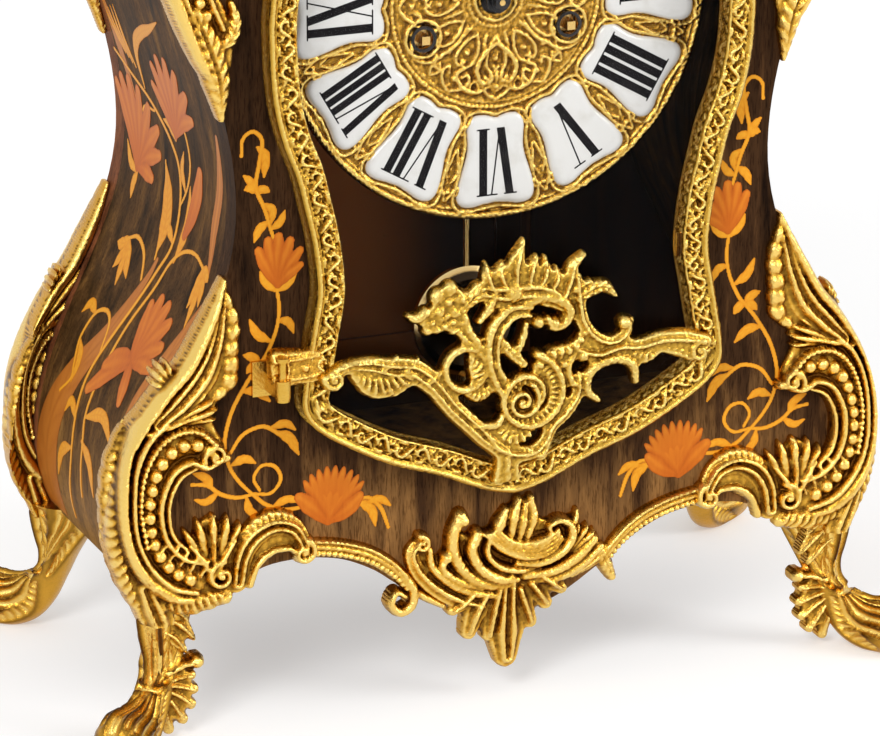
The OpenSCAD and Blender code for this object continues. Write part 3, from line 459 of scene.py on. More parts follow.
# ---------------------------------------------------------------- finishes
class Nodes:
    """A node tree with its tools within reach."""

    def __init__(self, tree):
        self.tree = tree

    def node(self, kind, **values):
        """A new node; values are its settings, or its inputs by name with _ for each space."""
        n = self.tree.nodes.new(kind)
        for key, value in values.items():
            if hasattr(n, key):
                setattr(n, key, value)
            else:
                n.inputs[key.replace("_", " ")].default_value = value
        return n

    def join(self, value, socket):
        """Links another socket to this one, or sets a plain value."""
        if isinstance(value, bpy.types.NodeSocket):
            self.tree.links.new(value, socket)
        else:
            socket.default_value = value

    def maths(self, kind, a, b=0.0, c=0.0):
        n = self.node("ShaderNodeMath", operation=kind)
        for value, socket in zip((a, b, c), n.inputs):
            self.join(value, socket)
        return n.outputs[0]

    def scaled(self, value, low, high):
        """Takes a value from 0..1 to low..high."""
        return self.maths("MULTIPLY_ADD", value, high - low, low)

    def seen(self):
        """1 on rays from the camera, from mirrors and through glass, otherwise 0."""
        rays = self.node("ShaderNodeLightPath").outputs
        straight = self.maths("MAXIMUM", rays["Is Camera Ray"], rays["Is Transmission Ray"])
        return self.maths("MAXIMUM", straight, rays["Is Glossy Ray"])


class Finish(Nodes):
    """A procedural material; values are its shader's inputs."""

    def __init__(self, name, **values):
        self.mat = bpy.data.materials.new(name)
        self.mat.use_nodes = True
        super().__init__(self.mat.node_tree)
        self.shader = self.tree.nodes["Principled BSDF"]
        for key, value in values.items():
            self.shader.inputs[key.replace("_", " ")].default_value = value

    def coords(self, scale=(1, 1, 1)):
        """Object coordinates in millimetres, stretched by scale."""
        place = self.node("ShaderNodeMapping", Scale=[s / MM for s in scale])
        self.join(self.node("ShaderNodeTexCoord").outputs["Object"], place.inputs["Vector"])
        return place.outputs["Vector"]

    def axes(self, kind):
        """X, Y and Z of the coordinate of that kind."""
        n = self.node("ShaderNodeSeparateXYZ")
        self.join(self.node("ShaderNodeTexCoord").outputs[kind], n.inputs[0])
        return n.outputs

    def hollow(self):
        """The tone kept with the mesh: 0 in a crevice, 1 on a crest."""
        return self.node("ShaderNodeAttribute", attribute_name="hollow").outputs["Fac"]

    def noise(self, vector, scale, detail=4.0, rough=0.55, distortion=0.0):
        n = self.node("ShaderNodeTexNoise", Scale=scale, Detail=detail, Roughness=rough, Distortion=distortion)
        self.join(vector, n.inputs["Vector"])
        return n.outputs["Fac"]

    def span(self, value, start, end, low=0.0, high=1.0, kind="LINEAR"):
        """Takes a value from start..end to low..high and stops there."""
        n = self.node("ShaderNodeMapRange", interpolation_type=kind, From_Min=start, From_Max=end,
                      To_Min=low, To_Max=high)
        self.join(value, n.inputs["Value"])
        return n.outputs[0]

    def ramp(self, value, stops):
        n = self.node("ShaderNodeValToRGB")
        ends = n.color_ramp.elements
        while len(ends) < len(stops):
            ends.new(0.5)
        for e, (at, colour) in zip(ends, stops):
            e.position = at
            e.color = (*colour, 1)
        self.join(value, n.inputs["Fac"])
        return n.outputs["Color"]

    def mix(self, factor, a, b, mode="MIX"):
        n = self.node("ShaderNodeMix", data_type="RGBA", blend_type=mode)
        for value, socket in ((factor, n.inputs[0]), (a, n.inputs[6]), (b, n.inputs[7])):
            self.join(value, socket)
        return n.outputs[2]

    def bump(self, height, distance, strength=1.0):
        n = self.node("ShaderNodeBump", Distance=distance, Strength=strength)
        self.join(height, n.inputs["Height"])
        self.join(n.outputs["Normal"], self.shader.inputs["Normal"])

    def paint(self, colour=None, roughness=None):
        for value, name in ((colour, "Base Color"), (roughness, "Roughness")):
            if value is not None:
                self.join(value, self.shader.inputs[name])


def gilt(name, low, middle, high, carved=True):
    """Fire gilding: painted shade darkens the hollows and a painted highlight brightens the crests."""
    f = Finish(name, Metallic=1.0)
    at = f.coords()
    cloud, grain = f.noise(at, 0.09, 5), f.noise(at, 1.6, 3)
    # Carved gilding takes its tone from the hollow attribute: painted shade in the crevices, painted highlight on the
    # crests
    tone = f.maths("ADD", f.hollow(), f.scaled(cloud, -0.10, 0.10)) if carved else f.scaled(cloud, 0.42, 0.72)
    tone = f.maths("ADD", tone, f.scaled(grain, -0.07, 0.07))
    between = [0.45 * m + 0.3 * l for m, l in zip(middle, low)]
    f.paint(f.ramp(tone, [(0.0, low), (0.30, between), (0.52, middle), (0.85, high)]), f.scaled(grain, 0.14, 0.32))
    f.bump(f.noise(at, 0.85, 5, 0.6), 0.0004, 0.7)
    return f.mat


def veneer(name, dark, middle, light, inner=False):
    """Polished veneer: upright streaks and fine pores, lighter towards the floor; inner wood also gets painted light
    at the left and painted shade towards the right and the floor.
    """
    f = Finish(name, Specular_IOR_Level=0.02)
    grain = (0.09, 0.09, 0.010)
    at = f.coords(grain)
    streak, band = f.noise(at, 1.9, 7, 0.62, 0.5), f.noise(at, 0.75, 3, 0.5, 1.2)
    pore = f.noise(f.coords([8 * s for s in grain]), 2.6, 3, 0.6)
    low = f.span(f.axes("Object")["Z"], *LIGHTER_BELOW, -0.04, 0.24)
    tone = f.maths("ADD", f.maths("MULTIPLY_ADD", streak, 0.75, f.scaled(band, -0.1, 0.35)), low)
    wood = f.ramp(tone, [(0.30, dark), (0.52, middle), (0.80, light)])
    wood = f.mix(0.75, wood, f.ramp(pore, [(0.36, (0.35, 0.3, 0.28)), (0.5, (1, 1, 1))]), "MULTIPLY")
    f.paint(painted_light_and_shade(f, wood) if inner else wood, f.scaled(streak, 0.36, 0.52))
    f.bump(pore, 0.00006, 0.5)
    return f.mat


def painted_light_and_shade(f, colour):
    """On faces that look to the front: painted light, a warm bright colour at the left, and painted shade, dark
    towards the right and the floor.
    """
    inside, place = f.span(f.axes("Normal")["Y"], -0.3, -0.6), f.axes("Object")
    right = f.span(place["X"], *PAINTED_SHADE_RIGHT, kind="SMOOTHSTEP")
    low = f.span(place["Z"], *PAINTED_SHADE_BELOW, kind="SMOOTHSTEP")
    dark = f.maths("MAXIMUM", right, low)
    return f.mix(inside, colour, f.mix(dark, f.mix(0.9, colour, PAINTED_LIGHT), f.mix(0.9, colour, PAINTED_SHADE)))


def inlay_wood(name, shade, middle, light):
    """Sand-shaded inlay veneer."""
    f = Finish(name, Specular_IOR_Level=0.08)
    fibre = f.noise(f.coords((0.5, 0.5, 0.06)), 2.0, 4)
    tone = f.maths("ADD", f.hollow(), f.scaled(fibre, -0.16, 0.16))
    f.paint(f.ramp(tone, [(0.0, shade), (0.45, middle), (0.95, light)]), f.scaled(fibre, 0.30, 0.42))
    f.bump(fibre, 0.00003, 0.4)
    return f.mat


def metal(name, colour, dark, rough=(0.18, 0.34), brushed=(1, 1, 1)):
    """Clouded metal with fine marks, drawn out along the axis that brushed makes small."""
    f = Finish(name, Metallic=1.0)
    fine, cloud = f.noise(f.coords(brushed), 1.4, 4), f.noise(f.coords(), 0.05, 4)
    f.paint(f.mix(f.scaled(cloud, 0.0, 0.7), colour, dark), f.scaled(fine, *rough))
    f.bump(fine, 0.00004, 0.5)
    return f.mat


def coated(name, colour, worn, rough=(0.25, 0.4), inner=False, **more):
    """One even colour, worn in patches; inner pieces also get painted light at the left and painted shade towards the
    right and the floor.
    """
    f = Finish(name, **more)
    cloud = f.noise(f.coords(), 0.12, 5)
    coat = f.mix(f.ramp(cloud, [(0.5, (0, 0, 0)), (0.72, (1, 1, 1))]), colour, worn)
    f.paint(painted_light_and_shade(f, coat) if inner else coat, f.scaled(cloud, *rough))
    f.bump(f.noise(f.coords(), 0.9, 3), 0.00003, 0.3)
    return f.mat


def bob_painted_reflection(name):
    """The bob: a brass face painted dark as a painted reflection of the case's dark inside, in a bright brass rim, by
    the distance from its middle.
    """
    f = Finish(name, Metallic=1.0)
    place = f.node("ShaderNodeMapping", Location=(0, 0, -BOB_Z * MM), Scale=(1, 0, 1))
    f.join(f.node("ShaderNodeTexCoord").outputs["Object"], place.inputs["Vector"])
    far = f.node("ShaderNodeVectorMath", operation="LENGTH")
    f.join(place.outputs[0], far.inputs[0])
    share = f.maths("MULTIPLY", far.outputs["Value"], 1 / (BOB_R * MM))
    cloud = f.noise(f.coords(), 0.2, 4)
    tone = f.maths("ADD", share, f.scaled(cloud, -0.02, 0.02))
    # The face's dark colours are a painted reflection of the case's dark inside; the rim's colours are the brass's
    # own
    reflection_stops = [(0.0, (0.10, 0.07, 0.04)), (0.90, (0.035, 0.022, 0.012))]
    rim = [(0.935, (0.72, 0.48, 0.18)), (1.0, (0.80, 0.58, 0.26))]
    f.paint(f.ramp(tone, reflection_stops + rim), f.scaled(cloud, 0.10, 0.24))
    f.bump(f.noise(f.coords(), 0.6, 3), 0.00004, 0.4)
    return f.mat


def clear_glass(name):
    f = Finish(name, Base_Color=(0.02, 0.02, 0.02, 1), Alpha=0.03, IOR=1.45)
    f.paint(roughness=f.scaled(f.noise(f.coords(), 0.03, 2), 0.02, 0.05))
    f.mat.surface_render_method = "BLENDED"
    return f.mat


# Painted light: the warm bright colour at the left of the inside; painted shade: the dark colour towards the right
# and the floor
PAINTED_LIGHT, PAINTED_SHADE = (0.80, 0.250, 0.060, 1), (0.010, 0.005, 0.003, 1)
# Where the painted shade towards the right and the floor, and the lighter wood below, begin and where they are full,
# in metres
PAINTED_SHADE_RIGHT, PAINTED_SHADE_BELOW, LIGHTER_BELOW = (-0.012, 0.030), (0.104, 0.072), (0.11, 0.05)
MADE = {}
FINISHES = {
    # The carved gildings' low colours are painted shade for the hollows, and their high colours are painted
    # highlights for the crests
    "mount_gilding": lambda n: gilt(n, (0.085, 0.030, 0.004), (0.64, 0.335, 0.040), (0.84, 0.575, 0.150)),
    "door_gilding": lambda n: gilt(n, (0.085, 0.034, 0.005), (0.57, 0.325, 0.042), (0.76, 0.555, 0.160)),
    "dial_gilding": lambda n: gilt(n, (0.12, 0.050, 0.008), (0.57, 0.295, 0.036), (0.78, 0.53, 0.140)),
    "plain_gilding": lambda n: gilt(n, (0.30, 0.14, 0.02), (0.60, 0.34, 0.045), (0.80, 0.58, 0.17), carved=False),
    "front_veneer": lambda n: veneer(n, (0.013, 0.006, 0.003), (0.060, 0.027, 0.011), (0.29, 0.140, 0.044)),
    "side_veneer": lambda n: veneer(n, (0.022, 0.012, 0.005), (0.105, 0.050, 0.017), (0.34, 0.170, 0.046)),
    # inner=True paints light at the left of the inside and shade towards the right and the floor
    "inner_wood": lambda n: veneer(n, (0.10, 0.034, 0.014), (0.26, 0.092, 0.038), (0.38, 0.15, 0.062), inner=True),
    "leaf_inlay": lambda n: inlay_wood(n, (0.34, 0.10, 0.008), (0.76, 0.275, 0.014), (0.86, 0.39, 0.028)),
    "flower_inlay": lambda n: inlay_wood(n, (0.22, 0.036, 0.006), (0.56, 0.128, 0.012), (0.72, 0.22, 0.020)),
    "shade_inlay": lambda n: inlay_wood(n, (0.17, 0.046, 0.008), (0.46, 0.142, 0.020), (0.62, 0.225, 0.034)),
    "enamel": lambda n: coated(n, (0.80, 0.79, 0.76, 1), (0.70, 0.68, 0.63, 1), (0.10, 0.2), Coat_Weight=0.5),
    "numeral_black": lambda n: coated(n, (0.008, 0.007, 0.008, 1), (0.02, 0.018, 0.018, 1), (0.45, 0.6),
                                      Specular_IOR_Level=0.08),
    "black_steel": lambda n: coated(n, (0.012, 0.011, 0.012, 1), (0.05, 0.04, 0.035, 1), (0.25, 0.4), Metallic=0.4),
    "brass": lambda n: metal(n, (0.80, 0.55, 0.20, 1), (0.62, 0.38, 0.12, 1), brushed=(1, 1, 0.08)),
    "steel": lambda n: metal(n, (0.55, 0.56, 0.58, 1), (0.38, 0.38, 0.40, 1), brushed=(0.1, 0.1, 1)),
    "bob_brass": bob_painted_reflection,
    "bell_metal": lambda n: metal(n, (0.72, 0.62, 0.42, 1), (0.5, 0.4, 0.24, 1)),
    # The felt also gets the inside's painted light at the left and painted shade towards the right and the floor
    "dark_felt": lambda n: coated(n, (0.20, 0.072, 0.030, 1), (0.26, 0.10, 0.042, 1), (0.8, 0.95), inner=True,
                                  Specular_IOR_Level=0.1),
    "glass": clear_glass,
}

# The frame's own parts that keep their shape, by finish
CARRIED = {
    "front_veneer": ("front_board", "top_board", "base_board"),
    "side_veneer": ("left_side_panel", "right_side_panel", "roof_panels"),
    "inner_wood": ("back_frame", "back_door"),
    "plain_gilding": ("hinge_brackets", "hinge_pins", "door_catch", "back_door_latch"),
    "brass": ("glass_clips", "sound_grille", "back_door_hinges", "movement_plates", "time_barrel", "strike_barrel",
              "centre_wheel", "minute_wheel", "third_wheel", "escape_wheel", "pendulum_rod",
              "time_winding_arbor", "strike_winding_arbor"),
    "steel": ("back_door_pins", "movement_pillars", "case_straps", "anchor", "suspension", "hammer"),
    "black_steel": ("winding_rings", "hour_hand", "minute_hand", "hand_nut"),
    "bob_brass": ("pendulum_bob",),
    "bell_metal": ("bell",),
    "glass": ("door_glass",),
}


def finish(name):
    """The finish of that name, made the first time it is asked for."""
    if name not in MADE:
        MADE[name] = FINISHES[name](name + "_finish")
    return MADE[name]


def carry(*names):
    """Gives the frame's own parts their finishes."""
    for name in names:
        for node in CARRIED[name]:
            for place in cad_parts[node].material_slots:
                place.material = finish(name)


WEAR = 0.45  # how much the castings' sharp edges are rubbed down


def cast(rel, front, back, reach=1.4, scale=1.1, rim_tone=0.5, chased=0.10):
    """Points, faces and tone of a closed casting from a relief and the places of its two skins."""
    h = np.clip(rel.h, 0, None)
    whole = blurred((rel.h > 0).astype(float), 1) > 0.999
    rel.h = np.where(whole, (1 - WEAR) * rel.h + WEAR * blurred(h, 1), rel.h)
    rel.chase(chased)
    # rim_tone is the tone of the rim's points: the painted shade or painted highlight that the gilding gives the
    # walls
    x, z, tall, tone, faces, rim = cut_out(rel, rel.hollows(reach, scale), rim_tone)
    points, skin = closed(front(x, z, tall), back(x, z, tall), faces, rim)
    return points, skin, np.concatenate([tone, tone])


def flat(y, scale=0.0):
    """Places a skin on the plane y, raised towards the front by scale times its height."""
    return lambda x, z, h: np.stack([x, y - scale * h, z + DIAL_Z], 1)


def casting(name, shape, node, gilding="mount_gilding", body="case", slot="gilt_mounts", sharp=80.0):
    """A gilt piece in place of the frame's node."""
    points, faces, tone = shape
    mesh_piece(name, points, faces, finish(gilding), body, slot, tone, (node,), sharp)


def four_corners(label, shape):
    """The same casting on the case's four corners, made for the front left one."""
    points, faces, tone = shape
    for depth in ("front", "rear"):
        for side in ("left", "right"):
            node = "%s_%s_%s" % (depth, side, label)
            casting(node + "_casting", (*mirrored(points, faces, side == "right", depth == "rear"), tone), node)


# ---------------------------------------------------------------- the corner mounts
def corner_relief():
    """A blade and a flank rib above; below, a beaded C scroll with shells, and a leafy tail towards the apron."""
    r = Relief(-146, -64, -198, -74, 0.42)
    r.plate([(-100, -84), (-97, -97), (-97, -114), (-102, -122), (-104, -129), (-100, -141), (-112, -146),
             (-119, -152), (-120, -164), (-113, -173), (-111, -166), (-105, -162), (-98, -169), (-92, -170),
             (-84, -167), (-75, -171), (-72, -180), (-80, -178), (-88, -182), (-91, -187), (-99, -190), (-112, -194),
             (-128, -194), (-134, -183),
             (-138, -168), (-138, -146), (-134, -136), (-124, -124), (-112, -112), (-105, -100)], 2.2)
    blade = [(-99.2, -83), (-101, -92), (-103.5, -102), (-108, -112), (-115, -120), (-124, -128)]
    r.stroke(blade, [1.5, 6.5, 10, 13, 12, 7], [2, 5, 7, 7.5, 8, 7], flutes(3, 0.4))
    flank = [(-99.4, -82), (-103, -91), (-107.5, -100), (-113.5, -110), (-121, -118), (-128, -127), (-133, -135)]
    r.stroke(flank, [1.5, 4, 5, 5, 5, 5, 4], [2.5, 6.5, 8.5, 9, 9, 9, 9])
    r.stroke([(-99, -86), (-97, -96), (-98, -106), (-98.5, -116), (-104, -122)], [2, 5, 6, 6, 3], [3, 4.5, 5, 5, 4],
             ribs(5.5, 0.35), scallop=0.35, pitch=5.5)
    r.shell(-126, -131, 25, 3, 36, 4, 7, scallop=0.16)
    r.stroke([(-128, -131), (-118, -128.5), (-109, -127)], [4, 5, 2], [7, 6.5, 4], ridge)
    for x, z, size in ((-117.5, -116, 8.5), (-131, -141.5, 8.0)):
        r.shell(x, z, size, 95, 190, 4, 5.5, scallop=0.2)
    outer_edge = [(-134.5, -133), (-138.5, -144), (-139.8, -157), (-138.8, -170), (-135.5, -182), (-131, -191)]
    r.stroke(outer_edge, [4, 6, 7, 7, 6, 4], [4, 4.5, 4.5, 4.5, 4.5, 3.5], ribs(3.4, 0.4, 0.4), scallop=0.22,
             pitch=6.8)
    big_c = [(-124, -123), (-130, -129), (-135, -138), (-136.6, -150), (-136, -162), (-133, -173), (-127, -182),
             (-119, -188), (-113, -190)]
    r.stroke(big_c, [4, 5, 5.4, 5.4, 5, 5, 5.5, 6, 4], [8, 9, 9.5, 9.5, 9, 9, 9, 8, 6])
    r.stroke([(-121, -128), (-127, -133), (-131.5, -142), (-132.8, -154), (-131.8, -166), (-127.5, -176),
              (-120, -184), (-111, -187.5)], [3, 3.2, 3.2, 3.2, 3.2, 3.2, 3.6, 3], [7, 8, 8, 8, 8, 8, 8, 6])
    trough = [(-103.5, -140.5), (-109.5, -136.5), (-116.5, -136.5), (-122.5, -141.5), (-126, -150), (-127, -160),
              (-124.8, -170.5), (-119, -179), (-110.5, -184)]
    r.stroke(trough, [7, 9, 10.5, 10.5, 10, 10, 10, 10, 9], [3.6])
    r.beads(trough, 2.35, 3.4, 4.7, base=3.2, ends=3)
    r.beads([(-104, -136.5), (-110, -131.5), (-118, -131.5), (-125, -137), (-129.4, -147), (-130.2, -158),
             (-128.4, -169)], 1.1, 2.2, 2.1, base=5)
    lip = [(-100.5, -142.5), (-107, -144.3), (-112.5, -141.8), (-118.5, -144.6), (-122.4, -152), (-123.2, -160),
           (-121.2, -168), (-116, -174.5), (-109, -177.5)]
    r.stroke(lip, [2.2, 2.8, 2.8, 2.8, 2.8, 2.8, 2.8, 2.8, 2.2], [5, 7, 7.5, 7.5, 7.5, 7.5, 7.5, 7, 6])
    r.stroke([(-110, -144.4), (-116, -147), (-119.6, -153.5), (-120.2, -161), (-118.4, -167.5), (-113.5, -172.8)],
             [1.6, 2.4, 2.4, 2.4, 2.4, 1.8], [4, 5.5, 5.5, 5.5, 5.5, 5])
    r.volute(-103.8, -140.8, 4.2, 0.8, 200, -1.3, [3.2, 1.8], [6.5, 7], ball=1.6)
    r.ball(-99.8, -142, 1.9, 5.5)
    r.shell(-105, -186, 25, 58, 122, 5, 6.5, scallop=0.22)
    r.stroke([(-105.2, -184), (-105.2, -172), (-104.8, -162.5)], [4, 6, 2.4], [6, 8.2, 6], flutes(2, 0.5))
    for tip in ((-113, -171), (-97.4, -171)):
        r.stroke(bowed((-105.4, -183), tip, 0, 1), [2, 3.4, 1.4], [6, 7.2, 5.4])
    for k in range(6):
        r.stroke([(-124 + 3.6 * k, -172.5 - 2.4 * k), (-121.2 + 3.5 * k, -168.6 - 2.0 * k)], [1.5, 2.2], [5.4, 6.4])
    r.volute(-102.5, -182.5, 5.2, 0.8, 80, 1.4, [3.4, 2], [7, 8], ball=1.7)
    r.stroke([(-124, -190), (-112, -191.5), (-101, -190.5)], [6, 8, 6], [5, 6, 5], ribs(2.6, 0.4, 0.5), 0.2, 5)
    r.stroke([(-129, -184), (-126, -192), (-124, -197)], [8, 12, 12], [6, 6.5, 6], flutes(3, 0.4))
    r.stroke([(-96.5, -186), (-95, -177), (-90.5, -170.5), (-83.5, -167.6), (-77, -169.6), (-73.4, -175),
              (-72.4, -180)],
             [8, 9, 9.5, 9, 8, 6.5, 5], [6.5, 7, 7, 7, 7, 6.5, 6], flutes(3, 0.5))
    r.stroke([(-97, -176), (-91, -167.5), (-84, -164.4), (-77.5, -165.6)], [3, 4, 4, 3], [4, 5, 5, 4], ribs(2.4, 0.4),
             0.3, 4.8)
    r.volute(-73.4, -178.6, 4.4, 0.8, 60, -1.2, [3.2, 2], [6, 6.5], ball=1.6)
    r.stroke([(-92, -187.5), (-89.5, -181), (-84.5, -177), (-78.5, -176.6), (-75.4, -179)], [3.2, 3, 3, 2.8, 2],
             [4.5, 5, 5, 5, 4])
    return r


def shoulder_relief():
    """A long beaded scroll between two leaves; the photograph shows its lower end."""
    r = Relief(-130, -80, -30, 88, 0.42)
    r.plate([(-99, -20), (-95.5, -6), (-97, 6), (-102, 18), (-104, 30), (-101, 42), (-94, 50), (-88, 60), (-84, 74),
             (-86, 82), (-98, 76), (-110, 62), (-118, 46), (-120, 28), (-115, 8), (-107, -8)], 2.2)
    r.stroke([(-99.5, -28), (-101, -14), (-104.5, -3), (-109, 8)], [1.5, 8.5, 11, 8], [2, 5.5, 7, 7], leaf(4.2, 0.3))
    r.stroke([(-99, -21), (-106.5, -8), (-113.5, 8), (-118.5, 24), (-119.5, 40), (-114.5, 54), (-106, 66),
              (-96.5, 76), (-88.5, 82)], [1.5, 4.5, 5.5, 6, 6, 5.5, 5.2, 4.5, 2], [2.5, 6.5, 8.5, 9, 9, 9, 8, 6.5, 3])
    r.stroke([(-108, 4), (-113.2, 16), (-115.2, 30), (-113.4, 43), (-107, 54), (-99.5, 62)],
             [3, 3.2, 3.2, 3.2, 3.2, 2.4], [6, 7.5, 7.5, 7.5, 7.5, 5])
    trough = [(-104.5, 6), (-109, 17), (-110.6, 30), (-108.6, 41.5), (-102.5, 50)]
    r.stroke(trough, [7, 8.5, 9, 8.5, 7], [3.4])
    r.beads(trough, 2.2, 3.3, 4.6, base=3.1, ends=2)
    r.stroke([(-99.5, 3), (-104.4, 15), (-106.2, 29), (-104.2, 39.5), (-98.5, 46), (-92, 46.4), (-88.4, 42),
              (-90, 37.4), (-94, 37.6)], [2.4, 2.8, 3, 3, 3.4, 3.4, 3, 2.6, 2], [6, 7, 7.5, 7.5, 7.5, 7.5, 7, 6.5, 6])
    r.ball(-92.6, 40.6, 2.3, 6.5)
    r.stroke([(-101, 16), (-98.6, 24), (-99.6, 33)], [2, 4.5, 2], [4, 5, 4], leaf(3, 0.3))
    r.stroke([(-104, 56), (-97, 66), (-90, 76), (-86, 85)], [9, 11, 9, 2], [7, 7.5, 6.5, 3], leaf(4, 0.35), 0.16, 5)
    r.stroke([(-100, 52), (-92, 58), (-86.5, 66), (-84.5, 73)], [5, 7, 6, 2], [6, 6.5, 5.5, 3], leaf(3.4, 0.35),
             0.2, 4)
    r.stroke([(-103, -4), (-97, -1), (-94.8, 5), (-96, 11)], [5, 5.5, 4.5, 2], [5, 6, 5, 4], leaf(3, 0.35))
    return r


def bend(x, z):
    """How far a mount stands past the case's edge, how far it drops back there, and its x after the bend."""
    out = np.abs(x) - half_width(z + DIAL_Z)
    t = np.clip((out + BEND_START) / BEND_W, 0, 1)
    drop = BEND_DROP * (1 - np.sqrt(1 - t * t))
    return out, drop, x - np.sign(x) * 0.4 * drop


def wrapped(x, z, h):
    """Front skin of a mount that bends round the case's corner."""
    _, drop, x = bend(x, z)
    return np.stack([x, FRONT_Y - 0.9 - MOUNT_SCALE * h + drop, z + DIAL_Z], 1)


def seated(x, z, h):
    """Its back: flat on the front board; beside the case it hugs the corner, and is carved there too."""
    out, drop, x = bend(x, z)
    beside = FRONT_Y + 3.4 + drop + 0.4 * h
    return np.stack([x, np.where(out > 0.3, beside, FRONT_Y - 0.02), z + DIAL_Z], 1)


# ---------------------------------------------------------------- the apron, crest and door ornament
def apron_relief():
    """The apron's mount: a shell between scrolls over a fan of hanging leaves."""
    r = Relief(-42, 40, -230, -166, 0.36, fat=1.15)
    r.plate([(-33, -184), (-27, -195), (-16, -203), (-8, -212), (0, -222), (7, -212), (16, -203), (26, -196),
             (29, -186), (20, -184), (8, -176), (-4, -180), (-14, -182), (-18, -178), (-20, -188), (-24, -192)], 2)
    r.stroke([(-17.2, -173.5), (-20, -180), (-19.4, -188), (-14.5, -195), (-7, -199), (1, -200)],
             [4.6, 4.4, 5, 5.4, 5, 3.5], [6, 6.5, 7, 7.5, 7, 6])
    r.ball(-16.6, -175, 2.8, 7)
    r.stroke([(-11.5, -180.5), (-13.6, -186), (-10.8, -192.5), (-4, -197), (3, -198.4)], [4.2, 4.6, 5, 5, 3],
             [7, 8, 8.5, 8.5, 6])
    r.stroke([(-7.5, -182.5), (-8, -188), (-3.6, -193), (4, -195.2), (11, -195)], [2.4, 3, 3.4, 3.2, 2],
             [6.5, 7.5, 7.5, 7, 5])
    for k in range(5):
        u = k / 4
        r.stroke([(-9 + 5 * u, -180.8 + 0.6 * u), (-3 + 4 * u, -186.6 + 2.0 * u), (6 + 3 * u, -190.6 + 4.6 * u),
                  (14.5 + 1.6 * u, -190 + 6.4 * u), (19.4 - 1.6 * u, -186 + 3.6 * u)], [2, 3, 3.2, 3, 1.6],
                 [6.4, 7.6, 8 - u, 7.4, 5.5])
    r.stroke([(3, -192.6), (11, -193.2), (18.4, -190.6), (22.4, -186), (22, -181.4), (18, -179.2), (14.6, -181),
              (15.4, -184)],
             [3, 3.6, 4, 4, 3.8, 3.4, 2.6, 2], [6.5, 7.5, 8, 8, 8, 7.5, 7, 6])
    for tip in (((-5, -183), (-3.4, -178.6), (-0.8, -173.4)), ((0.5, -183), (1.6, -177), (3.8, -170.4)),
                ((6.5, -183.5), (8.6, -177), (8.2, -170.2)), ((3.5, -184), (5, -178), (6.2, -172))):
        r.stroke(tip, [3, 4.6, 2.4], [6, 6.6, 4.6])
    r.stroke([(-30.6, -180.4), (-34.4, -184.6), (-31.8, -191.6), (-25.4, -198.2), (-17.4, -203.4), (-9, -206.4)],
             [4, 4.6, 5.6, 6, 6, 4], [5, 5.6, 6, 6, 6, 6], flutes(2, 0.4))
    r.volute(-31.4, -181.6, 3, 0.6, 100, -1.2, [2.6, 1.6], [5.6, 6])
    r.stroke([(-28.4, -184), (-27.6, -190), (-22, -196), (-14, -200.6), (-4, -203.4)], [2.6, 3.4, 4, 4, 3],
             [5, 6, 6.4, 6.4, 6])
    r.stroke([(-22, -186.6), (-24, -191), (-18.6, -196), (-10, -200)], [3.4, 3.6, 3.8, 2.6], [6, 6.6, 6.8, 6])
    r.ball(-22.4, -187.4, 2.5, 7)
    for lobe, w in (([(0, -198), (-0.4, -208), (-0.4, -218), (-0.2, -226)], [8, 9, 12, 7]),
                    ([(-3.5, -201), (-5.4, -209), (-6.6, -217.5)], [6, 6, 4]),
                    ([(4, -202), (6, -208), (8.4, -214.6)], [6, 6, 4.4]),
                    ([(-8, -202), (-11.6, -208.6), (-13.8, -215.6)], [6, 7, 4.6]),
                    ([(8, -200.4), (11, -204.4), (14, -208.6)], [6, 6, 4.4]),
                    ([(-12.6, -201), (-16.4, -204.6), (-19.6, -207)], [6, 5.6, 3.4]),
                    ([(12, -198.6), (16, -201.6), (19.8, -204.4)], [6, 5.6, 3.6])):
        r.stroke(lobe, w, [7, 7, 5.5], flutes(3 if w[0] == 8 else 2, 0.45))
    r.stroke([(6, -197.4), (16, -197.2), (25, -193.6), (31.4, -188)], [4, 4.6, 4.6, 3.4], [6.4, 6.4, 6, 5])
    r.stroke([(8, -199.6), (18, -200), (27, -196.4), (34, -191.4)], [3, 3.6, 3.6, 3], [5, 5.4, 5.4, 4])
    r.shell(21, -194, 14.5, 22, 76, 4, 6, scallop=0.2)
    r.stroke([(22.6, -183), (24.6, -179.6), (25, -177)], [2.6, 2.6, 1.4], [5, 5, 4])
    r.web(1.3, 2.2, 0.5)
    return r


def band_relief():
    """The mouldings along the apron's edge, with their scrolled and leafy ends."""
    r = Relief(-76, 76, -208, -172, 0.4)
    line = [(72, -177.2), (60, -179.4), (50, -183), (42, -188.4), (36.4, -194.4)]
    r.pair(line, [5.6, 6, 6, 5.8, 4.8], [3.6, 4, 4, 4, 4], flutes(2, 0.4))
    r.pair([(x, z + 2.1) for x, z in line], [1.5], [4.6, 4.8, 4.8, 4.8, 4.4])
    for s in (-1, 1):
        r.beads([(x * s, z - 2.2) for x, z in line], 0.9, 1.6, 2.0, base=2.6)
    r.stroke([(-37, -193), (-34, -198), (-34.6, -203), (-38.6, -205), (-41.8, -201.6), (-40, -197.8), (-37, -199.4)],
             [4.4, 4.4, 4, 3.8, 3.2, 2.6, 2], [4, 4.6, 5, 5, 5, 5, 5])
    r.stroke([(36.4, -193), (31, -196.6), (24, -200)], [4.4, 4, 3], [4, 4, 3.6], flutes(2, 0.4))
    r.stroke([(34, -193), (36.4, -198.4), (38.6, -203)], [4, 5, 3], [4, 4.6, 3.6], leaf(2.8, 0.3))
    r.stroke([(-35, -197), (-29, -201.4), (-23, -205)], [3, 2.6, 2], [3.6, 3.4, 3])
    return r


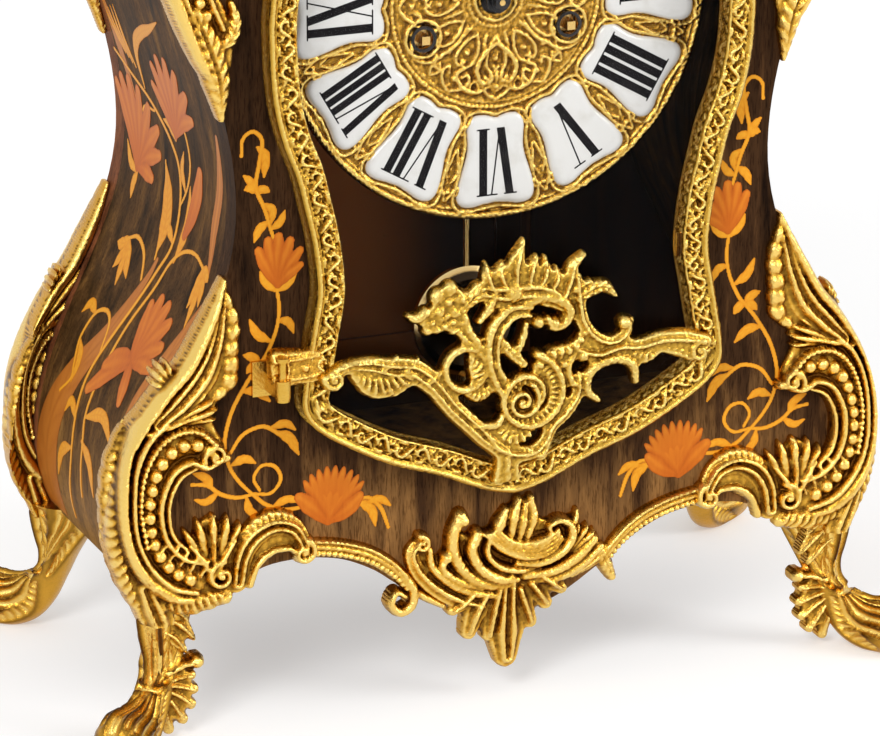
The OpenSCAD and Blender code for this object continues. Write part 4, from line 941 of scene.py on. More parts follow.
def crest_relief():
    """A shell between two C scrolls, over leaves; the photograph stops below it."""
    r = Relief(-36, 36, 82, 138, 0.4)
    r.plate([(0, 86), (10, 91), (20, 89), (28, 96), (26, 104), (20, 108), (20, 116), (13, 123), (6, 125), (0, 132),
             (-6, 125), (-13, 123), (-20, 116), (-20, 108), (-26, 104), (-28, 96), (-20, 89), (-10, 91)], 2.2)
    r.shell(0, 103, 26, 28, 152, 9, 7, scallop=0.14)
    r.pair([(0, 90), (9, 93), (18, 90), (27, 94), (29, 101), (24, 106), (20, 102)], [4, 5, 5, 5, 4.6, 4, 2.6],
           [6, 7, 7.5, 8, 8, 8, 7])
    r.pair([(3, 96), (11, 99), (18, 97), (22, 100)], [3, 3.4, 3.2, 2], [6.4, 7, 7, 6])
    r.pair([(20, 106), (23, 113), (20, 121), (15, 125), (12, 121)], [3, 4, 4, 3.4, 2.4], [6, 7, 7.5, 7.5, 6])
    r.pair([(14, 95), (20, 86), (26, 84)], [6, 6, 2], [6, 6, 4], leaf(3, 0.35), 0.2, 4)
    r.pair([(4, 124), (7, 129), (6, 134)], [4, 4.4, 1.6], [6, 6.4, 4])
    for s in (-1, 1):
        r.ball(22.5 * s, 101.5, 2.4, 8)
    r.stroke([(0, 120), (0, 130), (0, 136.5)], [6, 7, 2], [7, 7.4, 4.6], flutes(3, 0.45))
    r.ball(0, 102, 5.2, 9)
    r.flower(0, 102, 5, 6, 2, base=7.4)
    r.beads([(-12, 108.5), (-7, 112.5), (0, 114), (7, 112.5), (12, 108.5)], 1.3, 2.4, 2.8, base=5.6)
    r.web(1.4, 2.4, 0.5)
    return r


def ornament_relief():
    """The pierced ornament in the door: two arms, a crest of flames, flowers at the left and a snail below."""
    r = Relief(-72, 72, -160, -74, 0.33, fat=1.28)
    S = r.stroke
    S([(-68, -117), (-61, -113.6), (-53, -113.8), (-45, -116), (-37, -117.6), (-30, -123.4), (-23.6, -131.6),
       (-17, -138.4),
       (-11, -144.4), (-5, -149)], [3.4, 3.6, 5.4, 7, 7, 6, 5.6, 5.6, 5.6, 5.4],
       [3, 3.6, 4, 4.2, 4.2, 4, 4, 4, 4, 3.6], flutes(3, 0.55))
    r.volute(-65, -117, 3.4, 0.7, 170, 1.3, [2.6, 1.6], [3.4, 4], ball=1.3)
    S([(-58, -116.6), (-51, -120.6), (-43.6, -120.4), (-36, -116.6)], [3, 7.4, 8, 4], [3, 3.8, 4, 3.6],
      ribs(2.3, 0.4, 0.7), 0.12, 4)
    S(spiral(-19, -119, 7.2, 7.2, -60, 0.97, 0.4), [2.8], [3.6], smooth=False)
    S([(-17, -115), (-14.4, -120), (-14.6, -126)], [2, 6, 2.6], [3.4, 4.2, 3.4], ribs(1.9, 0.4, 0.6), 0.25, 3)
    S([(-20, -126), (-14, -129), (-8, -126)], [2.4, 4, 2], [3, 3.6, 3], ribs(1.8, 0.35))
    S([(4, -100), (-3, -99.6), (-9, -104.6), (-11.2, -112), (-10.4, -120), (-7.4, -127), (-3.4, -131.4)],
      [2.6, 3, 3.2, 3.2, 3.2, 3, 2.4], [3.8, 4.2, 4.4, 4.4, 4.4, 4, 3.6])
    S([(4, -103.2), (-1.4, -103), (-6, -107.4), (-7.8, -113), (-7.2, -119.6), (-4.8, -124.6)],
      [1.6, 2, 2.2, 2.2, 2, 1.6],
      [3, 3.4, 3.6, 3.6, 3.4, 3])
    S([(3, -98.6), (9, -97), (15, -99), (18, -103.4), (15.6, -107.4), (12, -107.8), (10.2, -104.8)],
      [3.4, 4, 4, 3.8, 3.4, 3, 2.2], [4, 4.4, 4.6, 4.6, 4.4, 4.4, 4])
    r.ball(7, -105.8, 2.5, 4.4)
    r.ball(12.6, -106.6, 2.4, 4.6)
    S([(-19.6, -100.6), (-17.6, -106.4), (-13, -112.6), (-8.6, -118.6), (-5, -124)], [3, 3, 3, 2.6, 2],
      [3.4, 3.6, 3.6, 3.4, 3])
    S([(-22, -105), (-18, -110), (-12, -112), (-8, -108)], [2, 2.6, 2.6, 2], [3, 3.4, 3.4, 3])
    r.flower(-25, -95, 7.2, 5, 4.2, start=80)
    r.flower(-30.8, -101.6, 5, 5, 3.8, start=20)
    r.flower(-23.6, -102, 5, 5, 4, start=60)
    S([(-20, -98), (-15.4, -94), (-10.6, -92)], [3, 5, 3], [3.6, 4, 3.4], leaf(2.4, 0.3))
    S([(-14, -103), (-10.4, -98.6), (-8.6, -93.6)], [2, 3.4, 2.6], [3.4, 4, 3.6])
    S([(-14, -92.6), (-5, -94.4), (4, -94.6), (11, -96.6), (17.6, -101.4)], [5, 8, 8, 7.6, 4.6],
      [3.4, 4.4, 4.6, 4.6, 4], flutes(3, 0.35))
    r.ball(-2, -94.4, 4.2, 4.9)
    for a, b, c, w in (((-9, -93), (-11, -88.6), (-11.6, -83.8), 4), ((-5, -92), (-6.6, -87.6), (-5.4, -84.2), 4.4),
                       ((-1, -91.6), (-1, -85.4), (1.8, -77.4), 5), ((3.6, -92), (4.4, -87.4), (6.6, -83.4), 4.2),
                       ((7.6, -93), (9.4, -89), (9.6, -84), 4), ((11.6, -95), (13.4, -91.6), (13.6, -88), 4)):
        S([a, b, c], [3.4, w, 1.2], [4, 4.4, 2.6], flutes(2, 0.35))
    S([(15.6, -98.6), (18.4, -92), (19.4, -88), (23, -84.6)], [4.4, 4.4, 3.6, 2], [4.2, 4.4, 4, 3], flutes(2, 0.4))
    S([(20.6, -92), (21.4, -100), (23, -107.6), (27, -113.2), (32.6, -115.8), (38, -114), (39.8, -109.6)],
      [3.4, 4, 4.2, 4, 3.8, 3.4, 3], [4.2, 4.4, 4.4, 4.4, 4.2, 4, 3.8], flutes(2, 0.3))
    r.ball(38, -109.6, 2.7, 4.4)
    S([(21.4, -99), (27, -96.4), (31, -96.4), (35, -100)], [3.6, 4.6, 3.8, 1.2], [4, 4.2, 4, 2.8], leaf(2.8, 0.3))
    S([(-8, -108), (-4, -114), (1.6, -119.6)], [2.4, 3.6, 3], [3, 3.8, 3.4], leaf(2.4, 0.3))
    S([(2.6, -106), (1.4, -111), (-0.6, -116)], [2, 2.6, 2], [3, 3.4, 3])
    S([(21, -117), (28, -119.4), (36, -118), (44, -118.6), (52, -117.4), (60, -118.2), (68, -120)],
      [4, 5, 4.6, 4.6, 5, 5, 4], [4, 4.4, 4.2, 4, 4, 4, 3.4], flutes(2, 0.4))
    S([(41, -120.4), (46, -122.4), (50, -121.6)], [3, 4.4, 2], [3, 3.6, 3], ribs(2, 0.4), 0.25, 3)
    S([(52, -120.6), (58, -122.2), (63, -124.6)], [2.4, 3.4, 3], [3, 3.4, 3], leaf(2.4, 0.3))
    r.volute(65.4, -123, 3.6, 0.7, 60, 1.3, [2.8, 1.6], [3.6, 4], ball=1.4)
    S([(28.6, -135.4), (24.6, -131.6), (24.8, -126.4), (29, -122.8), (35.6, -121.8), (41, -124.6), (42.4, -130.6)],
      [2, 3.2, 3.6, 3.6, 3.6, 3.4, 2.2], [3.4, 4, 4.2, 4.2, 4, 3.8, 3])
    r.ball(23, -119, 2.8, 4.4)
    S([(6.4, -121.4), (12.4, -117.4), (19.6, -116.2), (23.4, -111.6)], [3, 4, 4, 3], [3.8, 4.2, 4, 3.8],
      ribs(2.8, 0.3), 0.16, 3)
    S([(20, -118), (17.4, -123), (19, -128), (22.6, -130)], [2.4, 3, 3.2, 2.6], [3.4, 3.8, 3.8, 3.4])
    r.ball(16, -121.4, 2, 4)
    r.volute(3, -131, 14.5, 4.5, 75, -1.35, [3.2, 2.4], [4.4, 4.2])
    r.volute(3, -131.4, 11.4, 3.6, 60, -1.35, [3.6, 2.6], [3.6, 3.6], ribs(1.9, 0.45))
    r.volute(1, -132.6, 6.6, 1, 60, -1.6, [2.4, 1.8], [4.6, 4.6], ball=1.8)
    r.shell(-1, -139, 9, -160, -20, 7, 4, scallop=0.12)
    S([(-12, -142), (-8, -147.4), (-2, -150.6), (5, -151), (9.6, -147.6), (12, -142.6), (16.6, -138.6), (20.8, -133),
       (21.8, -126.6)],
      [4, 5, 5, 4.6, 4, 4.4, 4.6, 4, 3], [3.6, 4, 4.2, 4.2, 4, 4.2, 4.2, 4, 3.6], flutes(2, 0.35))
    S([(4, -150), (8, -152), (10.6, -148)], [2, 3, 2], [3.6, 4, 3.6])
    S([(-4, -149), (-4, -154), (-4, -159)], [6, 6.4, 8], [3.6, 3.6, 3.2], flutes(2, 0.3))
    S([(-16, -139), (-8, -139.6), (-5, -135)], [2, 3, 2], [3.4, 3.8, 3.4])
    S([(-33, -98), (-36.4, -99.6), (-39, -98.4)], [3.4, 3.4, 1.6], [3.4, 3.6, 2.6])
    for x, z, tip in ((-48, -115.4, (-43, -111.8)), (-40, -117, (-35.6, -113.2)), (-31.6, -121.4, (-27, -118.8)),
                      (20, -96, (25.6, -93.6))):
        S([(x, z), tip], [3.4, 1.0], [3.8, 2.6])
    r.web(1.0, 2.6, 0.52)
    return r


# ---------------------------------------------------------------- the door frame
def sight_line():
    """The door's opening as a closed line, from the bottom up the left, over the arch and down the right."""
    arch = [(SIGHT_R * math.cos(a), SIGHT_R * math.sin(a)) for a in map(math.radians, range(90, 3, -4))]
    right = arch + [(76, 0), (75, -19), (72, -33), (67.5, -45), (64.5, -57), (61.5, -71), (60, -88), (62.5, -104),
                    (65.5, -122), (64.5, -127), (56, -133), (41, -141), (24, -147), (8, -154), (0, -156)]
    left = [(-x, z) for x, z in right[::-1]][:-1]
    return curve(left + right, 0.5)


def frame_relief(length):
    """One long strip of scrolls and beads; x runs along the frame, z across it."""
    r = Relief(-1, length + 1, -DOOR_FACE_W / 2, DOOR_FACE_W / 2, 0.34)
    r.h[:] = 0.3
    for edge, width, height in ((3.7, 1.9, 2.1), (4.5, 0.9, 1.3), (2.5, 0.7, 1.7), (-4.2, 1.1, 1.9)):
        r.stroke([(-1, edge), (length + 1, edge)], [width], [height], smooth=False)
    rng = np.random.default_rng(5)
    count = int(round(length / SCROLL_PITCH))
    pitch = length / count
    for k in range(count):
        x, s = (k + 0.5) * pitch, 1 if k % 2 else -1
        mid = -0.9

        def lay(points, *look):
            """A stroke of one scroll; every second scroll stands upside down."""
            r.stroke([(x + u, mid + v * s) for u, v in points], *look)

        lay([(-3.4, -2.4), (-1.4, -0.6), (0.6, 2.0), (2.6, 1.7), (2.9, -0.3), (1.4, -0.7)],
            [1.0, 1.7, 1.9, 1.7, 1.4, 1.0], [1.6, 2.6, 3.0, 2.9, 2.6, 2.2], ribs(1.1, 0.22))
        lay([(-0.6, -2.2), (1.2, -2.7), (3.0, -2.3)], [1.1, 2.1, 0.9], [1.5, 2.5, 1.5], ribs(0.9, 0.4))
        lay([(-3.4, 2.6), (-2.0, 1.2), (-0.8, 2.6)], [1.1, 1.9, 0.8], [1.5, 2.5, 1.4], ribs(0.9, 0.3))
        r.ball(x + 3.8, mid + 0.8 * s, 0.85, 2.5)
    for x, z in zip(rng.uniform(0, length, FRAME_DOTS), rng.uniform(-3.9, 2.2, FRAME_DOTS)):
        r.ball(x, z, rng.uniform(0.32, 0.62), rng.uniform(0.8, 2.1))
    return r


def lug_relief(low, high):
    """The chased plate over a hinge's lug, between two heights."""
    r, middle = Relief(-88, -66, low - 2, high + 2, 0.3), (low + high) / 2
    r.plate([(-85.4, low), (-76, low + 0.4), (-68.5, low + 1.6), (-68.5, high - 1.6), (-76, high - 0.4),
             (-85.4, high), (-86.4, middle)], 2.0, 1.4)
    for z in (low + 3.0, high - 3.0):
        r.stroke([(-85, z), (-77, z), (-70, z + 0.4)], [2.6, 2.2, 2.0], [3.2, 2.8, 2.6])
    r.stroke([(-81.4, low + 1), (-80.6, middle), (-81.4, high - 1)], [1.8], [3.2])
    r.ball(-74.6, middle, 1.9, 3.2)
    return r


def along_line(line, lift):
    """Carries a strip along a closed line; the strip's z counts outwards from its own middle."""
    run = run_of(line)
    ahead = np.gradient(line, axis=0)
    ahead /= np.linalg.norm(ahead, axis=1)[:, None]
    outward = np.stack([-ahead[:, 1], ahead[:, 0]], 1)
    outward[0] = outward[-1] = (0, -1)

    def place(x, z, h):
        x = np.clip(x, 0, run[-1])
        px, pz, ox, oz = (np.interp(x, run, v) for v in (line[:, 0], line[:, 1], outward[:, 0], outward[:, 1]))
        z = z + DOOR_FACE_W / 2
        return np.stack([px + ox * z, lift(h), pz + oz * z + DIAL_Z], 1)

    return place, run[-1]


# ---------------------------------------------------------------- the dial
PLATE_HALF = [(0, 69.4), (4.5, 69.9), (9, 70.6), (12.4, 69.6), (13.8, 66.8), (13.4, 63), (12, 58.4), (10.5, 54),
              (9.8, 50), (10, 46), (10, 42.6), (8.7, 40.1), (6, 39.2), (3, 39.5)]
PLATE_LINE = PLATE_HALF + [(0, 40.4)] + [(-x, z) for x, z in PLATE_HALF[:0:-1]]
NUMERAL_LOW, NUMERAL_HIGH = 43.8, 66.4
HOURS = ("I", "II", "III", "IIII", "V", "VI", "VII", "VIII", "IX", "X", "XI", "XII")


def at_hour(points, hour):
    """Turns points drawn at twelve round to the hour."""
    a = math.radians(30 * hour)
    return [(x * math.cos(a) + z * math.sin(a), z * math.cos(a) - x * math.sin(a)) for x, z in points]


def dial_relief():
    """The embossed plate: stippled, with a border for each numeral plate and an arabesque round the hands."""
    edge, middle = DIAL_R + 0.5, 36.5
    r = Relief(-edge, edge, -edge, edge, 0.4)
    zz, xx = np.meshgrid(r.z, r.x, indexing="ij")
    far = np.hypot(xx, zz)
    r.h = np.where(far < DIAL_R, 0.25 + 0.25 * (far < middle), DIAL_R - far)
    rng = np.random.default_rng(3)
    for a, d in zip(rng.uniform(0, 2 * np.pi, DIAL_DOTS), np.sqrt(rng.uniform(6**2, 71**2, DIAL_DOTS))):
        r.ball(d * math.cos(a), d * math.sin(a), rng.uniform(0.35, 0.62), rng.uniform(0.45, 0.8), 0.1)

    def ring(x, z, d, width, height, shape=dome):
        r.stroke(spiral(x, z, d, d, 0, 1.003, 0.4), [width], [height], shape, smooth=False)

    def both(points, hour, *look):
        """A stroke and its mirror image in the ray of the hour."""
        for s in (-1, 1):
            r.stroke(at_hour([(x * s, z) for x, z in points], hour), *look)

    def boss(z, hour, size, height):
        r.ball(*at_hour([(0, z)], hour)[0], size, height)

    ring(0, 0, 73.7, 2.4, 2.0, ribs(2.1, 0.35, 0.8))
    ring(0, 0, 71.9, 0.9, 1.3)
    ring(0, 0, 36.6, 1.5, 1.5, ribs(1.7, 0.45))
    ring(0, 0, 34.9, 0.7, 1.1)
    ring(0, 0, 7.2, 1.6, 1.5)
    ring(0, 0, 9.4, 1.2, 1.3, ribs(1.5, 0.5))
    border = [(x * 1.105, z + (1.3 if z > 55 else -1.3)) for x, z in PLATE_LINE]
    for hour in range(12):
        r.stroke(at_hour(border + [border[0]], hour), [1.3], [1.8])
        mid = hour + 0.5
        # between the plates
        both([(0.4, 69.6), (1.8, 66), (3.4, 64.5), (3.6, 67), (2.2, 67.4)], mid, [1.1, 1.4, 1.3, 1],
             [1.4, 1.7, 1.6, 1.5])
        both([(0.3, 52), (1.3, 56), (1.9, 60), (0.5, 63.5)], mid, [0.9, 1.4, 1.2, 0.8], [1.2, 1.6, 1.6, 1.3])
        both([(0.2, 47), (1.2, 43.5), (2.2, 40.6), (0.8, 39.4)], mid, [0.9, 1.3, 1.2, 0.8], [1.2, 1.6, 1.5, 1.3])
        boss(66.4, mid, 1.0, 1.7)
        # the arabesque of the centre
        both([(0, 13), (2.6, 17), (3.4, 22), (1.2, 25), (-0.8, 23)], hour, [1.3, 1.7, 1.6, 1.4, 1],
             [1.5, 2.0, 2.0, 1.8, 1.6])
        both([(0.3, 34), (3.4, 32), (5.2, 28.6), (3.6, 26.6), (2.4, 28.4)], hour, [1.2, 1.6, 1.7, 1.4, 1],
             [1.4, 1.9, 2.0, 1.8, 1.6])
        both([(0, 28), (1.6, 30.4), (0.2, 33)], mid, [1, 1.6, 0.8], [1.4, 1.8, 1.4])
        r.stroke(at_hour([(0, 12), (0, 16), (0, 19)], mid), [1, 2, 0.8], [1.3, 1.9, 1.3], leaf(1.4, 0.3))
        boss(20, hour, 1.2, 2.1)
        boss(29.6, hour, 1.1, 2.0)
        boss(23.4, mid, 1.1, 1.9)
    # a spray of leaves over six, larger than the rest, and the rims of the winding holes
    r.pair([(0, -15), (4, -18), (7, -23), (5, -28), (1.6, -27), (2.4, -24)], [1.8, 2.4, 2.6, 2.4, 2, 1.4],
           [1.8, 2.4, 2.6, 2.5, 2.3, 2])
    r.pair([(2, -29), (7, -31), (12, -29), (14, -24.4), (11, -22.6)], [1.6, 2.2, 2.3, 2, 1.4],
           [1.8, 2.3, 2.3, 2.1, 1.8])
    r.pair([(10, -9), (14, -14), (19, -17), (22, -20), (19, -22.6)], [1.4, 2, 2.1, 1.8, 1.3], [1.6, 2.2, 2.2, 2, 1.7])
    for s in (-1, 1):
        ring(WINDING_X * s, WINDING_Z, 6.2, 1.7, 2.0)
    r.shell(0, -33, 9, 40, 140, 7, 2.0, base=0.3)
    for s in (-1, 1):
        r.pierce(WINDING_X * s, WINDING_Z, 3.5)
        r.ball(17 * s, -69.6, 0.9, 1.6)
    r.pierce(0, 0, 5.0)
    return r


def numeral_strokes(text):
    """Strokes of a numeral as lines and widths, the letters side by side, upright at twelve."""
    thick, thin, gap, widest = 2.8, 0.5, 0.95, 17.4
    strokes, feet, at = [], [], 0.0
    low, high = NUMERAL_LOW, NUMERAL_HIGH
    for letter in text:
        if letter == "I":
            strokes.append(([(at + thick / 2, low - 3), (at + thick / 2, high + 3)], thick))
            feet += [(at + thick / 2, low), (at + thick / 2, high)]
            at += thick + gap
        elif letter == "V":
            strokes.append(([(at + thick / 2, high + 2), (at + 5.0, low - 0.4)], thick))
            strokes.append(([(at + 8.4, high + 2), (at + 5.4, low + 0.6)], thin))
            feet += [(at + thick / 2, high), (at + 8.3, high)]
            at += 8.8 + gap
        else:
            strokes.append(([(at + 1.2, high + 2), (at + 8.0, low - 2)], thick))
            strokes.append(([(at + 8.6, high + 2), (at + 0.9, low - 2)], thin))
            feet += [(at + 1.7, high), (at + 8.2, high), (at + 7.5, low), (at + 1.4, low)]
            at += 9.2 + gap
    width = at - gap
    squeeze = min(1.0, widest / width)
    strokes += [([(x - 2.1, z), (x + 2.1, z)], thin) for x, z in feet]
    return [([((x - width / 2) * squeeze, z) for x, z in line], w * (squeeze if w > 1 else 1)) for line, w in strokes]


def numeral_relief(text):
    """The ink of a numeral, cut level at its head and foot."""
    ink = Relief(-12, 12, 40, 69, 0.2)
    for line, width in numeral_strokes(text):
        ink.stroke(line, [width], [width / 2], slope, smooth=False)
    ends = np.minimum(ink.z - NUMERAL_LOW, NUMERAL_HIGH - ink.z) + 0.25
    ink.h = np.minimum(ink.h, ends[:, None])
    return ink


def domed(plate, x, z):
    """The height of a relief at x, z."""
    return np.clip(blurred(np.clip(plate.h, 0, None), 1)[plate.cells(x, z)], 0, None)


def at_its_hour(label, hour, drawn, front, depth, wood, slot):
    """A piece drawn at twelve, turned to its hour: how far its front and its back stand before the dial."""
    x, z, _, _, faces, rim = drawn
    x, z = np.array(at_hour([(x, z)], hour)[0])
    skins = [np.stack([x, DIAL_Y - np.broadcast_to(lift, x.shape), z + DIAL_Z], 1) for lift in (front, depth)]
    points, skin = closed(*skins, faces, rim)
    mesh_piece("%s_%02d" % (label, hour), points, skin, finish(wood), "case", slot, None, ("numeral_plates",), 60)


# ---------------------------------------------------------------- legs and finial
def outwards(p):
    """Unit normals of rings of points, given as rows and columns."""
    n = np.cross(np.roll(p, -1, 1) - np.roll(p, 1, 1), np.gradient(p, axis=0))
    return n / (np.linalg.norm(n, axis=2)[..., None] + 1e-9)


def squarer(c, power):
    """A sine or cosine whose round grows squarer as the power falls below 1."""
    return np.sign(c) * np.abs(c) ** power


def leg_carving(length):
    """The carving that is wrapped round a leg: x runs down it, z round it from back to back."""
    r = Relief(0, length, -LEG_ROUND, LEG_ROUND, 0.4)
    r.h[:] = 0.0
    knee, shin, toe = 0.25 * length, 0.5 * length, 0.9 * length
    r.stroke([(-2, 0), (knee, 0), (shin, 0)], [7, 6, 4.4], [3.0, 2.6, 1.8])
    r.stroke([(shin, 0), (0.72 * length, 0), (toe, 0)], [4, 6, 4], [1.8, 2.4, 2.0], flutes(3, 0.4))
    for k in (-1, 1):

        def leaves(places, width, height, shape, *scallops):
            """Leaves at places that are shares of the length, and millimetres round from the middle."""
            r.stroke([(u * length if u > 0 else -2, v * k) for u, v in places], width, height, shape, *scallops)

        leaves([(0, 8), (0.16, 9), (0.3, 8), (0.42, 5)], [9, 9, 8, 2], [3, 3.4, 3, 1.4], leaf(5.0, 0.35), 0.18, 6)
        leaves([(0, 18), (0.12, 17), (0.24, 14), (0.34, 10)], [10, 9, 7, 2], [2.6, 3, 2.6, 1.2], flutes(3, 0.45),
               0.2, 6)
        leaves([(0.05, 25), (0.2, 22), (0.4, 17)], [7, 6, 3], [2, 2.2, 1.4], ribs(3.2, 0.4, 0.4))
        leaves([(0.5, 14), (0.7, 20), (0.88, 22)], [3, 7, 3], [1.4, 2.2, 1.4], ribs(3.0, 0.4, 0.3))
        for w, side in enumerate((5.0, 9.0, 13.0, 17.0)):
            leaves([(0.50 - 0.01 * w, 0.55 * side), (0.66, side), (0.86, 0.92 * side)], [1.6, 3.8, 2.4],
                   [1.0, 2.4, 1.6], dome)
        r.ball(0.40 * length, 9.6 * k, 2.6, 2.8)
        r.ball(0.47 * length, 8.0 * k, 2.0, 2.2)
        r.volute(0.955 * length, 9 * k, 3.6, 0.8, 90, 1.4 * k, [2.4, 1.4], [2.2, 2.6], ball=1.3)
    r.stroke([(0.475 * length, -9), (0.462 * length, 0), (0.475 * length, 9)], [2.4], [2.6])
    r.h = 0.5 * r.h + 0.5 * blurred(r.h, 1)
    return r


def leg_shape():
    """The front left leg: a curved bracket with a smooth shin, leaves beside it and a scrolled toe."""
    outer = curve([(13, 47), (12.6, 42), (11, 35), (9.4, 29), (10.2, 23.5), (15, 19.4), (22, 17.6), (29, 18.4),
                   (35.6, 18.2), (40, 14.4), (41, 9.4), (38.6, 4.4)], 0.3)
    inner = curve([(-13, 47), (-10.4, 41), (-6.6, 35), (-2.4, 28), (1.4, 20), (6, 11), (12, 4), (19, 0.6), (25, 0.2),
                   (30, 0.2), (33.6, 1.2), (36.4, 3.2)], 0.3)
    rows, cols = 190, 144
    t = np.linspace(0, 1, rows)
    o, i = (np.stack([np.interp(t, run_of(line) / run_of(line)[-1], line[:, k]) for k in (0, 1)], 1)
            for line in (outer, inner))
    middle, half = (o + i) / 2, (o - i) / 2
    down = run_of(middle)
    wide = np.interp(t, [0, 0.1, 0.25, 0.42, 0.55, 0.7, 0.85, 0.95, 1], [8.6, 8.4, 7.0, 5.2, 5.4, 7.0, 8.4, 8.2, 6.0])
    a = np.linspace(-np.pi, np.pi, cols, endpoint=False)
    c, s = squarer(np.cos(a), 0.9), squarer(np.sin(a), 0.85)
    pts = np.stack([middle[:, 0:1] + half[:, 0:1] * c, wide[:, None] * s, middle[:, 1:2] + half[:, 1:2] * c], 2)
    carving = leg_carving(down[-1])
    row, col = carving.cells(down, a / np.pi * LEG_ROUND)
    cells = row[None, :], col[:, None]
    fade = np.clip((1 - t) * 14, 0, 1) * np.clip(t * 30, 0.2, 1)
    pts += outwards(pts) * ((carving.h[cells] - LEG_SUNK) * fade[:, None])[..., None]
    out, across, up = pts.reshape(-1, 3).T
    out, up = np.clip(out, None, TOE_END), np.clip(up, 0.0, None)
    q = math.sqrt(0.5)
    world = np.stack([-LEG_X - q * (out - across), -LEG_Y - q * (out + across), up], 1)
    points, faces = capped(world, rows, cols)
    return points, faces, np.concatenate([carving.hollows(1.6, 0.9)[cells].ravel(), [0.3, 0.3]])


def leg_leaves_relief():
    """The leaves beside the shin, in the front plane: a leaf, a bud and a fan over the foot."""
    r = Relief(-131, -102, -240, -186, 0.34)
    r.stroke([(-124.5, -189), (-123, -200), (-122.6, -212), (-124, -222)], [4, 4.4, 4, 3], [4, 4.6, 4.4, 3.6],
             flutes(2, 0.45))
    r.stroke([(-122, -190), (-117, -191.6), (-111.5, -192.4)], [5, 6, 2.4], [4, 4.6, 3.6], leaf(2.6, 0.35), 0.2, 3.4)
    for root, tip, w in (((-121, -193), (-112.6, -198.6), 5), ((-121.4, -196), (-110.4, -205.4), 6.4),
                         ((-121.6, -201), (-113.4, -209.6), 5)):
        r.stroke(bowed(root, tip, 0, 1.4), [3, w, 1.6], [4, 5, 3.4], flutes(2, 0.5))
    r.stroke([(-120, -216.6), (-115, -214.4), (-111.6, -213.8)], [3, 2.6, 2.4], [3.6, 4, 4])
    r.ball(-109.4, -213.6, 2.5, 4.8)
    for x, z, w in ((-111.4, -218.4, 4.6), (-110.6, -223.4, 5), (-111.6, -228.6, 5.2), (-114.6, -233.4, 5.2),
                    (-119.4, -236.4, 5)):
        r.stroke(bowed((-124.6, -220.6), (x, z), 0.3, 1.1), [2, w * 0.8, w * 0.7], [3.4, 4.8, 3.6], flutes(2, 0.4))
    r.web(1.2, 2.2, 0.5)
    return r


def turned(profile, cols, wave, base_z):
    """A turned piece whose radius is changed by wave(angle, share of the profile)."""
    line = curve(profile, 0.5)
    a = np.linspace(0, 2 * np.pi, cols, endpoint=False)
    share = run_of(line) / run_of(line)[-1]
    change = wave(a[None, :], share[:, None])
    radius = np.clip(line[:, 0:1], 0.3, None) + change
    pts = np.stack([radius * np.cos(a), radius * np.sin(a), np.broadcast_to(line[:, 1:2] + base_z, radius.shape)], 2)
    points, faces = capped(pts.reshape(-1, 3), len(line), cols)
    # Brighter where the radius swells and darker in the grooves: a painted highlight and painted shade for the
    # gilding
    tone = np.clip(0.55 + change * 0.45, 0, 1).ravel()
    return points, faces, np.concatenate([tone, [0.5, 0.5]])


def urn_wave(a, share):
    """Gadroons round the belly, the lid and the neck."""

    def near(middle, width):
        return np.exp(-(((share - middle) / width) ** 2))

    belly = 1.3 * near(0.38, 0.10) * (np.abs(np.sin(8 * a)) - 0.6)
    lid = 0.7 * near(0.93, 0.06) * (np.abs(np.sin(10 * a)) - 0.5)
    return belly + lid + 0.8 * near(0.62, 0.08) * (np.abs(np.sin(6 * a + 9 * share)) - 0.5)


def flame_wave(a, share):
    """Five licks that wind upwards, with finer ones on them."""
    licks = np.abs(np.sin(2.5 * a + 5.2 * share)) ** 0.8
    fine = np.abs(np.sin(7.5 * a + 11 * share))
    return (2.6 * licks - 1.9 + 0.5 * fine) * np.clip(share * 4, 0.15, 1) * np.clip((1 - share) * 4, 0.1, 1)


def plinth_shape():
    """A coved plinth with ribs down its cove."""
    line = curve([(36, 30, 381.0), (37, 31, 382.0), (36.6, 30.6, 384.6), (34, 28, 386), (30.5, 24.5, 389),
                  (26.6, 20.6, 393), (23.6, 17.6, 397), (20.6, 14.8, 401), (20.8, 15, 402.4), (22.4, 16.4, 403.4),
                  (22.8, 16.8, 405), (21.6, 15.6, 407)], 0.5)
    x, y, z = line[:, 0:1], line[:, 1:2], line[:, 2:3]
    cols = 240
    a = np.linspace(0, 2 * np.pi, cols, endpoint=False)
    cx, cy = squarer(np.cos(a), 0.45), squarer(np.sin(a), 0.45)
    cove = np.clip((z - 386) / 2, 0, 1) * np.clip((401 - z) / 2, 0, 1)
    wave = np.abs(np.sin(15 * a))[None, :]
    rib = 1 - 0.05 * cove * (1 - wave)
    pts = np.stack([x * cx * rib, y * cy * rib, np.broadcast_to(z, rib.shape)], 2)
    points, faces = capped(pts.reshape(-1, 3), len(line), cols)
    # Darker in the cove's grooves: painted shade for the gilding
    tone = (0.2 + 0.5 * (wave * cove + 1 - cove)).ravel()
    return points, faces, np.concatenate([tone, [0.5, 0.5]])


